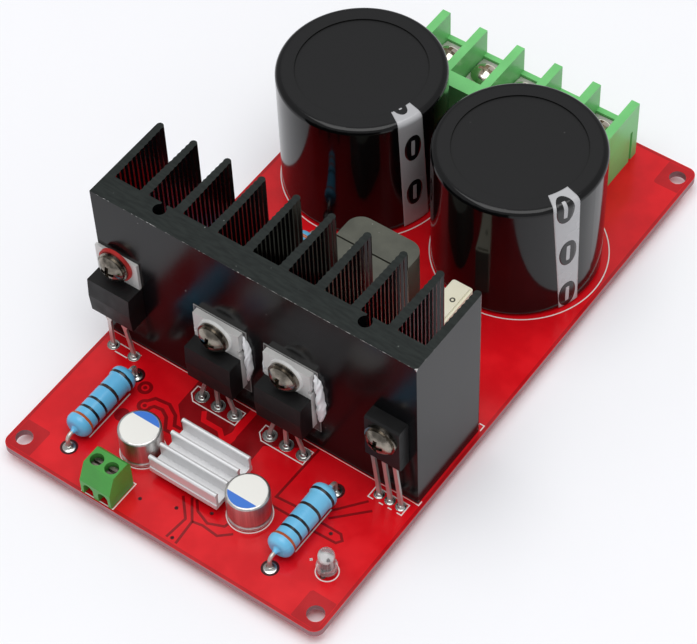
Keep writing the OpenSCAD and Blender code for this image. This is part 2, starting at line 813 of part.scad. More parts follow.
module driver_chip_pins() {
    mid = (chip_h + chip_lift) / 2;
    t = chip_pin_t;
    knee = chip_foot * 0.4;
    color("silver") translate([chip_x, chip_y, top_z])
        for (s = [0, 1], i = [0 : chip_pins_n - 1])
            mirror([0, s, 0]) translate([0, chip_w / 2, 0])
                side_plate((i - (chip_pins_n - 1) / 2) * chip_pitch, chip_pin_w)
                    polygon([
                        [0, mid], [knee, mid], [knee + t, mid - t], [knee + t, t], [chip_foot + t, t],
                        [chip_foot + t, 0], [knee, 0], [knee, mid - t], [0, mid - t]
                    ]);
}

module chip_heatsink() {
    fin_t = 0.55;
    step = (cooler_d - bead_d) / (cooler_fins - 1);
    color("gainsboro") side_plate(chip_x, cooler_l) translate([chip_y, top_z + chip_h]) {
        translate([-cooler_d / 2, 0]) square([cooler_d, cooler_floor]);
        for (i = [0 : cooler_fins - 1])
            translate([-cooler_d / 2 + bead_d / 2 + i * step, 0]) {
                translate([-fin_t / 2, 0]) square([fin_t, cooler_h - bead_d / 2]);
                translate([0, cooler_h - bead_d / 2]) circle(d = bead_d);
            }
    }
}

// Light-emitting diode: domed lens with a flange, cast round the heads of its two leads
module led_lens() {
    color([0.9, 0.95, 0.95, 0.6]) difference() {
        translate([led_x, led_y, top_z + led_lift]) {
            cylinder(d = led_d + led_flange, h = led_flange_h);
            cylinder(d = led_d, h = led_h - led_d / 2);
            translate([0, 0, led_h - led_d / 2]) sphere(d = led_d);
        }
        led_lead_pair();
    }
}

module led_lead_pair() {
    foot_z = top_z + led_lift;
    wide = (led_pitch + led_lead - led_split) / 2;
    for (s = [0, 1])
        translate([led_x - led_lead / 2, led_y, 0]) mirror([0, s, 0]) {
            translate([0, (led_pitch - led_lead) / 2, trim_z]) cube([led_lead, led_lead, foot_z - trim_z]);
            translate([0, led_split / 2, foot_z]) cube([led_lead, wide, led_flange_h]);
            translate([0, led_split / 2, foot_z]) cube([led_lead, led_post, led_h / 2]);
        }
}

module led_leads() {
    color("silver") led_lead_pair();
}

// Input terminal: housing, its contacts, and in each way a screw that lifts a clamping cage
module input_terminal_housing() {
    shelf = 1.75;
    lip = 3.6;
    mouth_w = 2.2;
    mouth_z = 1.9;
    mouth_d = in_screw_y - in_y;
    color([0.2, 0.6, 0.3]) difference() {
        side_plate(in_x, in_w) translate([in_y, top_z])
            polygon([[0, 0], [in_d, 0], [in_d, in_h - 0.9], [in_d - 0.7, in_h], [shelf, in_h], [0, lip]]);
        for (x = in_xs) {
            translate([x - cage_w / 2 - in_gap, in_screw_y - cage_d / 2 - in_gap, top_z + cage_z - in_gap])
                cube([cage_w + 2 * in_gap, in_pin_y + lead_t / 2 + in_gap - in_screw_y + cage_d / 2 + in_gap,
                      in_ceiling - cage_z + in_gap]);
            translate([x, in_screw_y, top_z + cage_z]) cylinder(d = in_well_d, h = in_h);
            translate([x, in_y - 1, top_z + mouth_z]) rotate([-90, 0, 0]) cylinder(d = mouth_w, h = 1 + mouth_d);
            translate([x - mouth_w / 2, in_y - 1, top_z - 1]) cube([mouth_w, 1 + mouth_d, 1 + mouth_z]);
            translate([x - lead_w / 2 - in_gap, in_pin_y - lead_t / 2 - in_gap, top_z - 1])
                cube([lead_w + 2 * in_gap, lead_t + 2 * in_gap, 1 + cage_z]);
        }
    }
}

module input_contacts() {
    bus_y = in_screw_y - cage_d / 2 - in_gap;
    color("silver")
        for (x = in_xs) {
            translate([x - bus_w / 2, bus_y, top_z + bus_z])
                cube([bus_w, in_pin_y + lead_t / 2 - bus_y, bus_t]);
            translate([x - lead_w / 2, in_pin_y - lead_t / 2, trim_z])
                cube([lead_w, lead_t, top_z + bus_z + bus_t - trim_z]);
        }
}

module input_cage(i) {
    inner = cage_w - 2 * cage_t;
    color("silver") translate([in_xs[i], in_screw_y, top_z + cage_z]) difference() {
        translate([-cage_w / 2, -cage_d / 2, 0]) cube([cage_w, cage_d, cage_h]);
        translate([-inner / 2, -cage_d / 2 - 1, cage_t]) cube([inner, cage_d + 2, cage_h - 2 * cage_t]);
        translate([0, 0, cage_t]) cylinder(d = in_screw_d + 2 * screw_gap, h = cage_h);
    }
}

module input_screw(i) {
    tip = bus_z + bus_t + in_gap / 2;
    color("silver") translate([in_xs[i], in_screw_y, top_z]) difference() {
        union() {
            translate([0, 0, in_head_z]) cylinder(d = in_head_d, h = in_head_h);
            translate([0, 0, tip]) cylinder(d = in_screw_d, h = in_head_z - tip);
        }
        translate([-in_head_d, -in_slot_w / 2, in_head_z + in_head_h / 3])
            cube([2 * in_head_d, in_slot_w, in_head_h]);
    }
}

// Power terminal: strip of open bays between dividing walls
module power_terminal_housing() {
    groove_w = 0.8;
    groove_depth = 0.4;
    groove_y = strip_y + strip_d - 1.9 - groove_w;
    color([0.45, 0.75, 0.45]) difference() {
        translate([strip_x - strip_w / 2, strip_y, top_z]) cube([strip_w, strip_d, strip_h]);
        for (i = [0 : way_n - 1])
            translate([way_xs[i], 0, top_z]) {
                translate([-way_w / 2, strip_y + ledge_d, rail_h]) cube([way_w, strip_d, strip_h]);
                translate([-way_w / 2, strip_y + ledge_d, well_z]) cube([way_w, well_d + 0.01, strip_h]);
                translate([-way_w / 2, plate_y, bed_z]) cube([way_w, plate_l, strip_h]);
                translate([0, clamp_screw_y, clamp_z + clamp_t - clamp_screw_l - 0.5])
                    cylinder(d = clamp_screw_d + 0.8, h = clamp_screw_l);
                translate([-strip_pin_w / 2 - plate_gap, strip_pin_y - strip_pin_w / 2 - plate_gap, -1])
                    cube([strip_pin_w + 2 * plate_gap, plate_t + 2 * plate_gap, bed_z + 2]);
            }
        for (s = [-1, 1])
            translate([strip_x + s * strip_w / 2 - groove_depth, groove_y, top_z - 1])
                cube([2 * groove_depth, groove_w, rail_h + 1]);
    }
}

// Contact plates with a tapped hole, each bent down into a pin that stands on the ground plane
module power_contacts() {
    pin_y = strip_pin_y - strip_pin_w / 2;
    color("silver")
        for (i = [0 : way_n - 1])
            difference() {
                union() {
                    translate([way_xs[i] - way_w / 2 + plate_gap, pin_y, top_z + bed_z])
                        cube([way_w - 2 * plate_gap, plate_l - 2 * plate_gap, plate_t]);
                    translate([way_xs[i] - strip_pin_w / 2, pin_y, 0])
                        cube([strip_pin_w, plate_t, top_z + bed_z + plate_t]);
                }
                translate([way_xs[i], clamp_screw_y, top_z + bed_z - 1])
                    cylinder(d = clamp_screw_d + 2 * screw_gap, h = plate_t + 2);
            }
}

module power_clamp(i) {
    if (i < way_n)
        color("silver") translate([way_xs[i], clamp_screw_y, top_z + clamp_z]) difference() {
            rotate([90, 0, 0]) translate([0, 0, -clamp_w / 2]) linear_extrude(clamp_w)
                polygon([
                    [-clamp_w / 2, 0], [clamp_w / 2, 0], [clamp_w / 2, clamp_t - clamp_edge],
                    [clamp_w / 2 - clamp_edge, clamp_t], [-clamp_w / 2 + clamp_edge, clamp_t],
                    [-clamp_w / 2, clamp_t - clamp_edge]
                ]);
            translate([0, 0, -1]) cylinder(d = clamp_screw_d + 2 * screw_gap, h = clamp_t + 2);
        }
}

module power_screw(i) {
    if (i < way_n)
        color("silver") translate([way_xs[i], clamp_screw_y, top_z + clamp_z + clamp_t]) {
            pan_head(clamp_head_d, clamp_head_h);
            translate([0, 0, -clamp_screw_l]) cylinder(d = clamp_screw_d, h = clamp_screw_l);
        }
}

// Reservoir capacitors: sleeved can with round edges, a little lower where the sleeve ends on top
module reservoir_cap(i) {
    color([0.09, 0.09, 0.1]) translate([cap_xs[i], cap_y, top_z]) difference() {
        turned_bar(cap_d, cap_h, cap_edge);
        translate([0, 0, cap_h - disc_depth]) cylinder(d = disc_d, h = 1);
    }
}

module reservoir_cap_pins() {
    color("silver")
        for (x = cap_xs, s = [-1, 1])
            translate([x + s * cap_pitch / 2 - cap_pin_w / 2, cap_y - cap_pin_t / 2, 0])
                cube([cap_pin_w, cap_pin_t, top_z]);
}

// Output filter: two-piece core with round upright edges, and a film capacitor
module inductor_core() {
    color("dimgray") translate([coil_x, middle_y, top_z]) linear_extrude(coil_h) difference() {
        round_rect(coil_w, coil_d, coil_r);
        square([coil_w + 1, coil_gap], center = true);
    }
}

module inductor_leads() {
    color("silver")
        for (s = [-1, 1])
            translate([coil_x + s * coil_pitch / 2, middle_y, trim_z])
                cylinder(d = coil_pin_d, h = top_z - trim_z);
}

module film_capacitor() {
    color("cornsilk") {
        translate([film_x, middle_y, top_z]) {
            linear_extrude(film_h - film_edge) round_rect(film_w, film_l, film_edge);
            side_plate(0, film_w - 2 * film_edge) translate([-film_l / 2 + film_edge, film_h - 2 * film_edge])
                square([film_l - 2 * film_edge, 2 * film_edge]);
        }
        for (s = [-1, 1])
            translate([film_x, middle_y + s * film_pitch / 2, trim_z])
                cylinder(d = wire_d, h = top_z - trim_z + 1);
    }
}

circuit_board();
main_heatsink();
heatsink_screws();
thermal_switch_case();
thermal_switch_bracket();
thermal_switch_leads();
thermal_switch_washer();
thermal_switch_screw();
mosfet_case(0);  // left_mosfet_case
mosfet_tab(0);  // left_mosfet_tab
mosfet_leads(0);  // left_mosfet_leads
mosfet_insulator(0);  // left_mosfet_insulator
mosfet_bush(0);  // left_mosfet_bush
mosfet_screw(0);  // left_mosfet_screw
mosfet_case(1);  // right_mosfet_case
mosfet_tab(1);  // right_mosfet_tab
mosfet_leads(1);  // right_mosfet_leads
mosfet_insulator(1);  // right_mosfet_insulator
mosfet_bush(1);  // right_mosfet_bush
mosfet_screw(1);  // right_mosfet_screw
driver_transistor_case();
driver_transistor_leads();
driver_transistor_screw();
resistor_body(0);  // left_resistor_body
resistor_body(1);  // right_resistor_body
resistor_body(2);  // rear_resistor_body
resistor_leads();
polymer_cap(0);  // left_polymer_cap
polymer_cap(1);  // right_polymer_cap
polymer_cap_leads();
driver_chip_case();
driver_chip_pins();
chip_heatsink();
input_terminal_housing();
input_screw(0);  // input_screw_1
input_screw(1);  // input_screw_2
input_cage(0);  // input_cage_1
input_cage(1);  // input_cage_2
input_contacts();
power_terminal_housing();
power_contacts();
power_screw(0);  // power_screw_1
power_screw(1);  // power_screw_2
power_screw(2);  // power_screw_3
power_screw(3);  // power_screw_4
power_screw(4);  // power_screw_5
power_clamp(0);  // power_clamp_1
power_clamp(1);  // power_clamp_2
power_clamp(2);  // power_clamp_3
power_clamp(3);  // power_clamp_4
power_clamp(4);  // power_clamp_5
reservoir_cap(0);  // left_reservoir_cap
reservoir_cap(1);  // right_reservoir_cap
reservoir_cap_pins();
inductor_core();
inductor_leads();
film_capacitor();
led_lens();
led_leads();
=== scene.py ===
import bmesh
import bpy
import numpy as np
from mathutils import Matrix, Vector


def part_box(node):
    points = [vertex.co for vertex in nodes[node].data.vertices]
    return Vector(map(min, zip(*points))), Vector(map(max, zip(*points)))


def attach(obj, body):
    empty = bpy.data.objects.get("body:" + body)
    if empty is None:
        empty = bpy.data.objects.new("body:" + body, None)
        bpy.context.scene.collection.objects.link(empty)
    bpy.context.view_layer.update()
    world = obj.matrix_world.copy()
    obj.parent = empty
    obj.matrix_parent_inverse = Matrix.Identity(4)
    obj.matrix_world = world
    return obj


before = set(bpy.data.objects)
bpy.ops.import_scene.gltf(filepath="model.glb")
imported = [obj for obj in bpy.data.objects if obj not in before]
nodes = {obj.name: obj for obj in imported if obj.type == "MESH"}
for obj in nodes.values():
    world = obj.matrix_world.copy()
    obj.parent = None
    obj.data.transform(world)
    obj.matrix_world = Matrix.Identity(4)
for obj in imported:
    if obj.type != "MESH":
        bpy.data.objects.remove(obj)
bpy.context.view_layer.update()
mm = 0.001  # places below are in millimetres, meshes in metres
print("frame:", len(nodes), "solids")


def boxMm(node):
    return tuple(np.array(corner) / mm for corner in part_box(node))


boardLow, boardHigh = boxMm("circuit_board")
boardTop, boardUnder = boardHigh[2], boardLow[2]


# camera, fitted to the board's edges and holes: angles in radians, distances in mm, image in pixels
view = {"turn": 0.67006, "lift": 0.91232, "roll": -0.0565, "across": -5.728, "above": -5.281, "away": 461.85,
        "focal": 2488.28, "centreX": 331.49, "centreY": 331.3, "width": 697, "height": 644, "sensor": 36}


def placeCamera(v):
    # back, side and up axes from turn and lift, then side and up rolled about back
    flat = np.cos(v["lift"])
    back = Vector((np.sin(v["turn"]) * flat, -np.cos(v["turn"]) * flat, np.sin(v["lift"])))
    side = Vector((np.cos(v["turn"]), np.sin(v["turn"]), 0))
    up = back.cross(side)
    c, s = np.cos(v["roll"]), np.sin(v["roll"])
    side, up = side * c + up * s, up * c - side * s
    place = (side * v["across"] + up * v["above"] + back * v["away"] + Vector((0, 0, boardTop))) * mm
    data = bpy.data.cameras.new("photoCamera")
    data.sensor_fit, data.sensor_width = "HORIZONTAL", v["sensor"]
    data.lens = v["sensor"] * v["focal"] / v["width"]
    data.shift_x = 0.5 - v["centreX"] / v["width"]
    data.shift_y = (v["centreY"] - v["height"] / 2) / v["width"]
    data.clip_start, data.clip_end = 0.01, 20
    camera = bpy.data.objects.new("photoCamera", data)
    camera.matrix_world = Matrix.Translation(place) @ Matrix((side, up, back)).transposed().to_4x4()
    bpy.context.scene.collection.objects.link(camera)
    bpy.context.scene.camera = camera


placeCamera(view)
bpy.context.scene.view_settings.view_transform = "Standard"
print("camera placed")


# surfaces: a grid of points, rows along a path or profile and columns across or round it
def gridQuads(rows, cols, roundRows, roundCols):
    # each quad joins a grid point with its next column, next row and next row's next column
    r, c = np.meshgrid(np.arange(rows - (not roundRows)), np.arange(cols - (not roundCols)), indexing="ij")
    r2, c2 = (r + 1) % rows, (c + 1) % cols
    return np.stack([r * cols + c, r * cols + c2, r2 * cols + c2, r2 * cols + c], -1).reshape(-1, 4)


def surface(points, roundRows=False, roundCols=False, flip=False):
    quads = gridQuads(points.shape[0], points.shape[1], roundRows, roundCols)
    return points.reshape(-1, 3), quads[:, ::-1] if flip else quads


def addPiece(name, surfaces, material, body="board", smooth=True):
    # all the grids in one mesh, with the points at poles and seams merged
    starts = np.cumsum([0] + [len(p) for p, q in surfaces[:-1]])
    points = np.concatenate([p for p, q in surfaces]) * mm
    quads = np.concatenate([q + s for (p, q), s in zip(surfaces, starts)])
    mesh = bpy.data.meshes.new(name)
    mesh.from_pydata(points.tolist(), [], quads.tolist())
    work = bmesh.new()
    work.from_mesh(mesh)
    bmesh.ops.remove_doubles(work, verts=work.verts, dist=1e-7)
    bmesh.ops.dissolve_degenerate(work, edges=work.edges, dist=1e-8)
    work.to_mesh(mesh)
    work.free()
    mesh.polygons.foreach_set("use_smooth", np.full(len(mesh.polygons), smooth))
    mesh.materials.append(material)
    piece = bpy.data.objects.new(name, mesh)
    bpy.context.scene.collection.objects.link(piece)
    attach(piece, body)


def printBetween(left, right, rise, closed=False):
    # a print on the board: across go left foot, left top, right top, right foot; open ends drop to the foot
    left, right = np.asarray(left, float), np.asarray(right, float)
    low, high = np.full(len(left), boardTop), np.full(len(left), boardTop + rise)
    grid = np.stack([np.c_[left, low], np.c_[left, high], np.c_[right, high], np.c_[right, low]], 1)
    if closed:
        return surface(grid, roundRows=True)
    ends = grid[[0, -1]].copy()
    ends[:, :, 2] = boardTop
    return surface(np.concatenate([ends[:1], grid, ends[1:]]))


def printLine(path, width, rise, closed=False):
    # half the width to each side of the path, along the mitre of the neighbouring stretches
    path = np.asarray(path, float)
    if closed:
        ahead, behind = np.roll(path, -1, 0) - path, path - np.roll(path, 1, 0)
    else:
        step = np.diff(path, axis=0)
        ahead, behind = np.r_[step, step[-1:]], np.r_[step[:1], step]
    ahead /= np.linalg.norm(ahead, axis=1)[:, None]
    behind /= np.linalg.norm(behind, axis=1)[:, None]
    a, b = np.c_[-ahead[:, 1], ahead[:, 0]], np.c_[-behind[:, 1], behind[:, 0]]
    mitre = (a + b) / (1 + (a * b).sum(1))[:, None] * width / 2
    return printBetween(path + mitre, path - mitre, rise, closed)


def arcPath(centre, radius, first=0, last=360, steps=48):
    a = np.radians(np.linspace(first, last, steps, endpoint=last - first < 360))
    return np.c_[centre[0] + radius * np.cos(a), centre[1] + radius * np.sin(a)]


def printRing(centre, inner, outer, rise, steps=40):
    return printBetween(arcPath(centre, inner, steps=steps), arcPath(centre, outer, steps=steps), rise, True)


def turned(profile, centre, steps=24, flip=False):
    # a profile of radius and height carried round an upright axis
    profile = np.asarray(profile, float)
    a = np.linspace(0, 2 * np.pi, steps, endpoint=False)
    r, z = profile[:, :1], profile[:, 1:]
    grid = np.stack([centre[0] + r * np.cos(a), centre[1] + r * np.sin(a), z + 0 * a], -1)
    return surface(grid, roundCols=True, flip=flip)


# shader building blocks
def srgb(r, g, b):
    c = np.array([r, g, b]) / 255
    return (*np.where(c <= 0.04045, c / 12.92, ((c + 0.055) / 1.055) ** 2.4).tolist(), 1.0)


def toned(colour, by):
    return tuple(min(1.0, v * by) for v in colour[:3]) + (1.0,)


def feed(tree, made, values):
    # a socket is linked to the input, anything else becomes its value
    for key, value in values.items():
        if isinstance(value, bpy.types.NodeSocket):
            tree.links.new(value, made.inputs[key])
        else:
            made.inputs[key].default_value = value


def put(tree, kind, values, **settings):
    made = tree.nodes.new("ShaderNode" + kind)
    for key, value in settings.items():
        setattr(made, key, value)
    feed(tree, made, values)
    return made


def maths(tree, how, a, b=0.0, clamp=False):
    return put(tree, "Math", {0: a, 1: b}, operation=how, use_clamp=clamp).outputs[0]


def blend(tree, share, first, second):
    return put(tree, "Mix", {0: share, 6: first, 7: second}, data_type="RGBA").outputs[2]


def ramp(tree, value, low, high, toLow=0.0, toHigh=1.0):
    return put(tree, "MapRange", {0: value, 1: low, 2: high, 3: toLow, 4: toHigh},
               interpolation_type="SMOOTHSTEP").outputs[0]


def rampMm(tree, value, low, high, toLow=0.0, toHigh=1.0):
    return ramp(tree, value, low * mm, high * mm, toLow, toHigh)


def byNoise(tree, noise, low=0.0, high=1.0):
    # most of a noise lies between 0.3 and 0.7
    return ramp(tree, noise, 0.3, 0.7, low, high)


def objectPlace(tree):
    return put(tree, "TexCoord", {}).outputs["Object"]


def placeAxes(tree):
    return put(tree, "SeparateXYZ", {0: objectPlace(tree)}).outputs


def newGroup(name, inputs, outputs):
    tree = bpy.data.node_groups.new(name, "ShaderNodeTree")
    for label, value in inputs.items():
        kind = "NodeSocketVector" if isinstance(value, tuple) else "NodeSocketFloat"
        tree.interface.new_socket(name=label, in_out="INPUT", socket_type=kind).default_value = value
    for label in outputs:
        tree.interface.new_socket(name=label, in_out="OUTPUT", socket_type="NodeSocketFloat")
    return tree, tree.nodes.new("NodeGroupInput").outputs, tree.nodes.new("NodeGroupOutput").inputs


def grainGroup():
    # fine and broad noise over the piece, drawn out along the stretched axes
    tree, given, out = newGroup("surfaceGrain", {"Scale": 2000.0, "Stretch": (1.0, 1.0, 1.0)}, ["Fine", "Broad"])
    place = put(tree, "Mapping", {"Vector": objectPlace(tree), "Scale": given["Stretch"]}).outputs[0]
    broad = maths(tree, "MULTIPLY", given["Scale"], 0.07)
    fine = put(tree, "TexNoise", {"Vector": place, "Scale": given["Scale"], "Detail": 5.0, "Roughness": 0.6})
    wide = put(tree, "TexNoise", {"Vector": place, "Scale": broad, "Detail": 3.0})
    tree.links.new(fine.outputs[0], out["Fine"])
    tree.links.new(wide.outputs[0], out["Broad"])
    return tree


def speckGroup():
    # round specks in a share of the cells of a scattered pattern
    tree, given, out = newGroup("dustSpecks", {"Scale": 900.0, "Share": 0.1, "Size": 0.2}, ["Mask"])
    cells = put(tree, "TexVoronoi", {"Vector": objectPlace(tree), "Scale": given["Scale"]})
    near = maths(tree, "LESS_THAN", cells.outputs["Distance"], given["Size"])
    pick = put(tree, "SeparateColor", {0: cells.outputs["Color"]}).outputs[0]
    tree.links.new(maths(tree, "MULTIPLY", near, maths(tree, "LESS_THAN", pick, given["Share"])), out["Mask"])
    return tree


def bandGroup():
    # one between two values, with soft shoulders outside them
    tree, given, out = newGroup("softBand", {"Value": 0.0, "Low": 0.0, "High": 1.0, "Soft": 0.001}, ["Mask"])
    rise = ramp(tree, given["Value"], maths(tree, "SUBTRACT", given["Low"], given["Soft"]), given["Low"])
    fall = ramp(tree, given["Value"], given["High"], maths(tree, "ADD", given["High"], given["Soft"]), 1.0, 0.0)
    tree.links.new(maths(tree, "MULTIPLY", rise, fall), out["Mask"])
    return tree


def axisGroup():
    # distance from an upright axis, and the height
    tree, given, out = newGroup("axisDistance", {"Centre": (0.0, 0.0, 0.0)}, ["Radius", "Height"])
    flat = put(tree, "VectorMath", {0: objectPlace(tree), 1: given["Centre"]}, operation="SUBTRACT").outputs[0]
    axes = put(tree, "SeparateXYZ", {0: flat}).outputs
    squares = [maths(tree, "MULTIPLY", axes[i], axes[i]) for i in (0, 1)]
    tree.links.new(maths(tree, "SQRT", maths(tree, "ADD", *squares)), out["Radius"])
    tree.links.new(axes[2], out["Height"])
    return tree


def wearGroup():
    # worn spots: noise that passes a threshold which rises with the distance from an edge
    values = {"Distance": 0.0, "Width": 0.0005, "Scale": 1500.0, "Amount": 0.5}
    tree, given, out = newGroup("edgeWear", values, ["Mask"])
    rough = put(tree, "TexNoise", {"Vector": objectPlace(tree), "Scale": given["Scale"], "Detail": 4.0}).outputs[0]
    far = maths(tree, "DIVIDE", given["Distance"], given["Width"], True)
    level = maths(tree, "SUBTRACT", maths(tree, "ADD", rough, given["Amount"]), maths(tree, "ADD", far, 0.55))
    tree.links.new(ramp(tree, level, 0.0, 0.08), out["Mask"])
    return tree


groups = {"grain": grainGroup(), "speck": speckGroup(), "band": bandGroup(), "axis": axisGroup(), "wear": wearGroup()}


def effect(tree, group, **values):
    made = tree.nodes.new("ShaderNodeGroup")
    made.node_tree = groups[group]
    feed(tree, made, values)
    return made.outputs


def bandMm(tree, value, low, high, soft):
    return effect(tree, "band", Value=value, Low=low * mm, High=high * mm, Soft=soft * mm)["Mask"]


def axisMm(tree, x, y):
    return effect(tree, "axis", Centre=(x * mm, y * mm, 0.0))


def newFinish(name):
    material = bpy.data.materials.new(name)
    material.use_nodes = True
    tree = material.node_tree
    return material, tree, tree.nodes["Principled BSDF"]


def bumpInto(tree, shader, height, strength, depth):
    bump = put(tree, "Bump", {"Height": height, "Strength": strength, "Distance": depth})
    tree.links.new(bump.outputs[0], shader.inputs["Normal"])


dust = {"scale": 1400.0, "size": 0.16, "share": 0.6, "colour": srgb(190, 188, 182)}


def grainyFinish(name, colour, roughness, scale, spread=0.12, shine=0.08, bump=0.3, depth=2e-5,
                 stretch=(1.0, 1.0, 1.0), metallic=0.0, tint=None, dusty=0.0, specular=0.5):
    # one colour varied by broad and fine noise, roughness varied round its value, a fine bump and a little dust
    material, tree, shader = newFinish(name)
    grain = effect(tree, "grain", Scale=scale, Stretch=stretch)
    dark, light = toned(colour, 1 - spread), tint or toned(colour, 1 + spread)
    mixed = blend(tree, byNoise(tree, grain["Broad"]), dark, light)
    mixed = blend(tree, ramp(tree, grain["Fine"], 0.35, 0.75, 0.0, 0.35), mixed, dark)
    if dusty:
        specks = effect(tree, "speck", Scale=dust["scale"], Share=dusty, Size=dust["size"])["Mask"]
        mixed = blend(tree, maths(tree, "MULTIPLY", specks, dust["share"]), mixed, dust["colour"])
    varied = ramp(tree, grain["Broad"], 0.25, 0.75, roughness - shine, roughness + shine)
    feed(tree, shader, {"Base Color": mixed, "Roughness": varied, "Metallic": metallic, "Specular IOR Level": specular})
    bumpInto(tree, shader, grain["Fine"], bump, depth)
    return material


# circuit board: copper's share in the darker spots, laminate's share in its darker layers, depth of the lacquer
boardLook = {"copper": srgb(224, 12, 25), "darker": 0.86, "laminate": srgb(168, 112, 118), "layer": 0.6,
             "lacquer": 0.05, "soft": 0.02, "gloss": (0.17, 0.25), "cutDull": 0.3}


def maskFinish(p):
    # glossy lacquer over copper, with the laminate's own layers on the cut edges and hole walls
    material, tree, shader = newFinish("redSolderMask")
    grain = effect(tree, "grain", Scale=2600.0)
    layers = effect(tree, "grain", Scale=260.0, Stretch=(1.0, 1.0, 22.0))
    cut = bandMm(tree, placeAxes(tree)[2], boardUnder + p["lacquer"], boardTop - p["lacquer"], p["soft"])
    top = blend(tree, byNoise(tree, grain["Broad"]), toned(p["copper"], p["darker"]), p["copper"])
    side = blend(tree, ramp(tree, layers["Fine"], 0.35, 0.65), p["laminate"], toned(p["laminate"], p["layer"]))
    dull = maths(tree, "MULTIPLY", cut, p["cutDull"])
    gloss = maths(tree, "ADD", byNoise(tree, grain["Broad"], *p["gloss"]), dull)
    feed(tree, shader, {"Base Color": blend(tree, cut, top, side), "Roughness": gloss})
    bumpInto(tree, shader, grain["Fine"], 0.12, 1e-5)
    return material


# plain finishes; lacquer and ink lie thin on the board, wire and tab are drawn along z, the small cooler along x
thinLacquer = {"scale": 2600.0, "bump": 0.12, "depth": 1e-5}
thinInk = {"scale": 1500.0, "bump": 0.15, "depth": 1e-5}
finishes = {
    "mask": maskFinish(boardLook),
    "bareMask": grainyFinish("maskOverLaminate", srgb(134, 5, 13), 0.21, spread=0.15, shine=0.04, **thinLacquer),
    "thinMask": grainyFinish("thinMask", srgb(182, 9, 20), 0.21, spread=0.1, shine=0.04, **thinLacquer),
    "clearance": grainyFinish("clearanceRing", srgb(62, 2, 8), 0.25, spread=0.2, shine=0.05, **thinLacquer),
    "ink": grainyFinish("whiteInk", srgb(236, 230, 228), 0.5, 5200.0, spread=0.06, shine=0.06, bump=0.4, depth=1e-5,
                        tint=srgb(238, 220, 218)),
    "stripe": grainyFinish("stripeInk", srgb(182, 182, 184), 0.24, spread=0.04, shine=0.05, **thinInk),
    "oval": grainyFinish("sleeveInk", srgb(18, 18, 19), 0.2, spread=0.1, shine=0.04, **thinInk),
    "solder": grainyFinish("shinySolder", srgb(198, 198, 194), 0.22, 1500.0, spread=0.14, shine=0.1, bump=0.4,
                           depth=4e-5, metallic=1.0),
    "pad": grainyFinish("dullPad", srgb(146, 146, 144), 0.42, 1500.0, spread=0.2, shine=0.1, metallic=0.55),
    "lead": grainyFinish("tinnedWire", srgb(204, 198, 194), 0.34, 1800.0, spread=0.14, depth=1e-5,
                         stretch=(1.0, 1.0, 0.12), metallic=0.7),
    # screw steel: a darkened colour with strong mottle, painted reflections of dark surroundings
    "steelPaintedReflections": grainyFinish("screwSteelPaintedReflections", srgb(136, 129, 119), 0.2, 9000.0, spread=0.45, metallic=1.0),
    "nickel": grainyFinish("brightNickel", srgb(216, 207, 192), 0.2, 5000.0, spread=0.14, metallic=1.0),
    "moulding": grainyFinish("blackMoulding", srgb(13, 13, 14), 0.52, 5200.0, spread=0.25, shine=0.06, bump=0.5,
                             dusty=0.006, specular=0.3),
    "tab": grainyFinish("platedTab", srgb(214, 213, 211), 0.45, 1400.0, spread=0.07, depth=1e-5,
                        stretch=(1.0, 1.0, 0.2), metallic=0.25),
    "fibre": grainyFinish("redFibre", srgb(178, 36, 32), 0.6, 3200.0, spread=0.25, bump=0.6, depth=3e-5),
    "bush": grainyFinish("whiteNylon", srgb(232, 232, 230), 0.4, 2600.0, spread=0.05, shine=0.05, bump=0.2, depth=1e-5),
    "paste": grainyFinish("thermalPaste", srgb(242, 243, 245), 0.5, 1700.0, spread=0.06, shine=0.1, bump=0.7,
                          depth=6e-5),
    "extrusion": grainyFinish("brightExtrusion", srgb(232, 232, 233), 0.44, 1500.0, spread=0.06, shine=0.06, bump=0.5,
                              depth=1.5e-5, stretch=(0.03, 1.0, 1.0), metallic=0.38),
    "greenInput": grainyFinish("greenTerminal", srgb(64, 150, 58), 0.38, 3400.0, spread=0.08, shine=0.06),
    "greenPower": grainyFinish("paleGreenStrip", srgb(118, 204, 122), 0.36, 3000.0, spread=0.06, shine=0.06),
    "ferrite": grainyFinish("ferriteCore", srgb(84, 85, 75), 0.55, 3600.0, spread=0.16, bump=0.8, depth=4e-5,
                            dusty=0.05),
}

# heatsink: widths of the worn edges; nicks grow more often from the left end of the front edge to the right
heatsinkLook = {
    "black": (srgb(7, 7, 8), srgb(12, 12, 14)), "grey": (srgb(28, 32, 31), srgb(39, 44, 42)),
    "speck": srgb(150, 156, 152), "speckShare": 0.5, "bare": srgb(190, 190, 188), "bareMetal": 0.6,
    "gloss": (0.15, 0.22), "sawnDull": 0.36, "specular": 0.16, "sawnFrom": -0.03, "sawnFull": -0.01,
    "nickWidth": 0.35, "nickAmount": (0.05, 0.14), "endWidth": 0.3, "endAmount": 0.0, "cornerWidth": 0.7,
    "cornerAmount": 0.8,
}


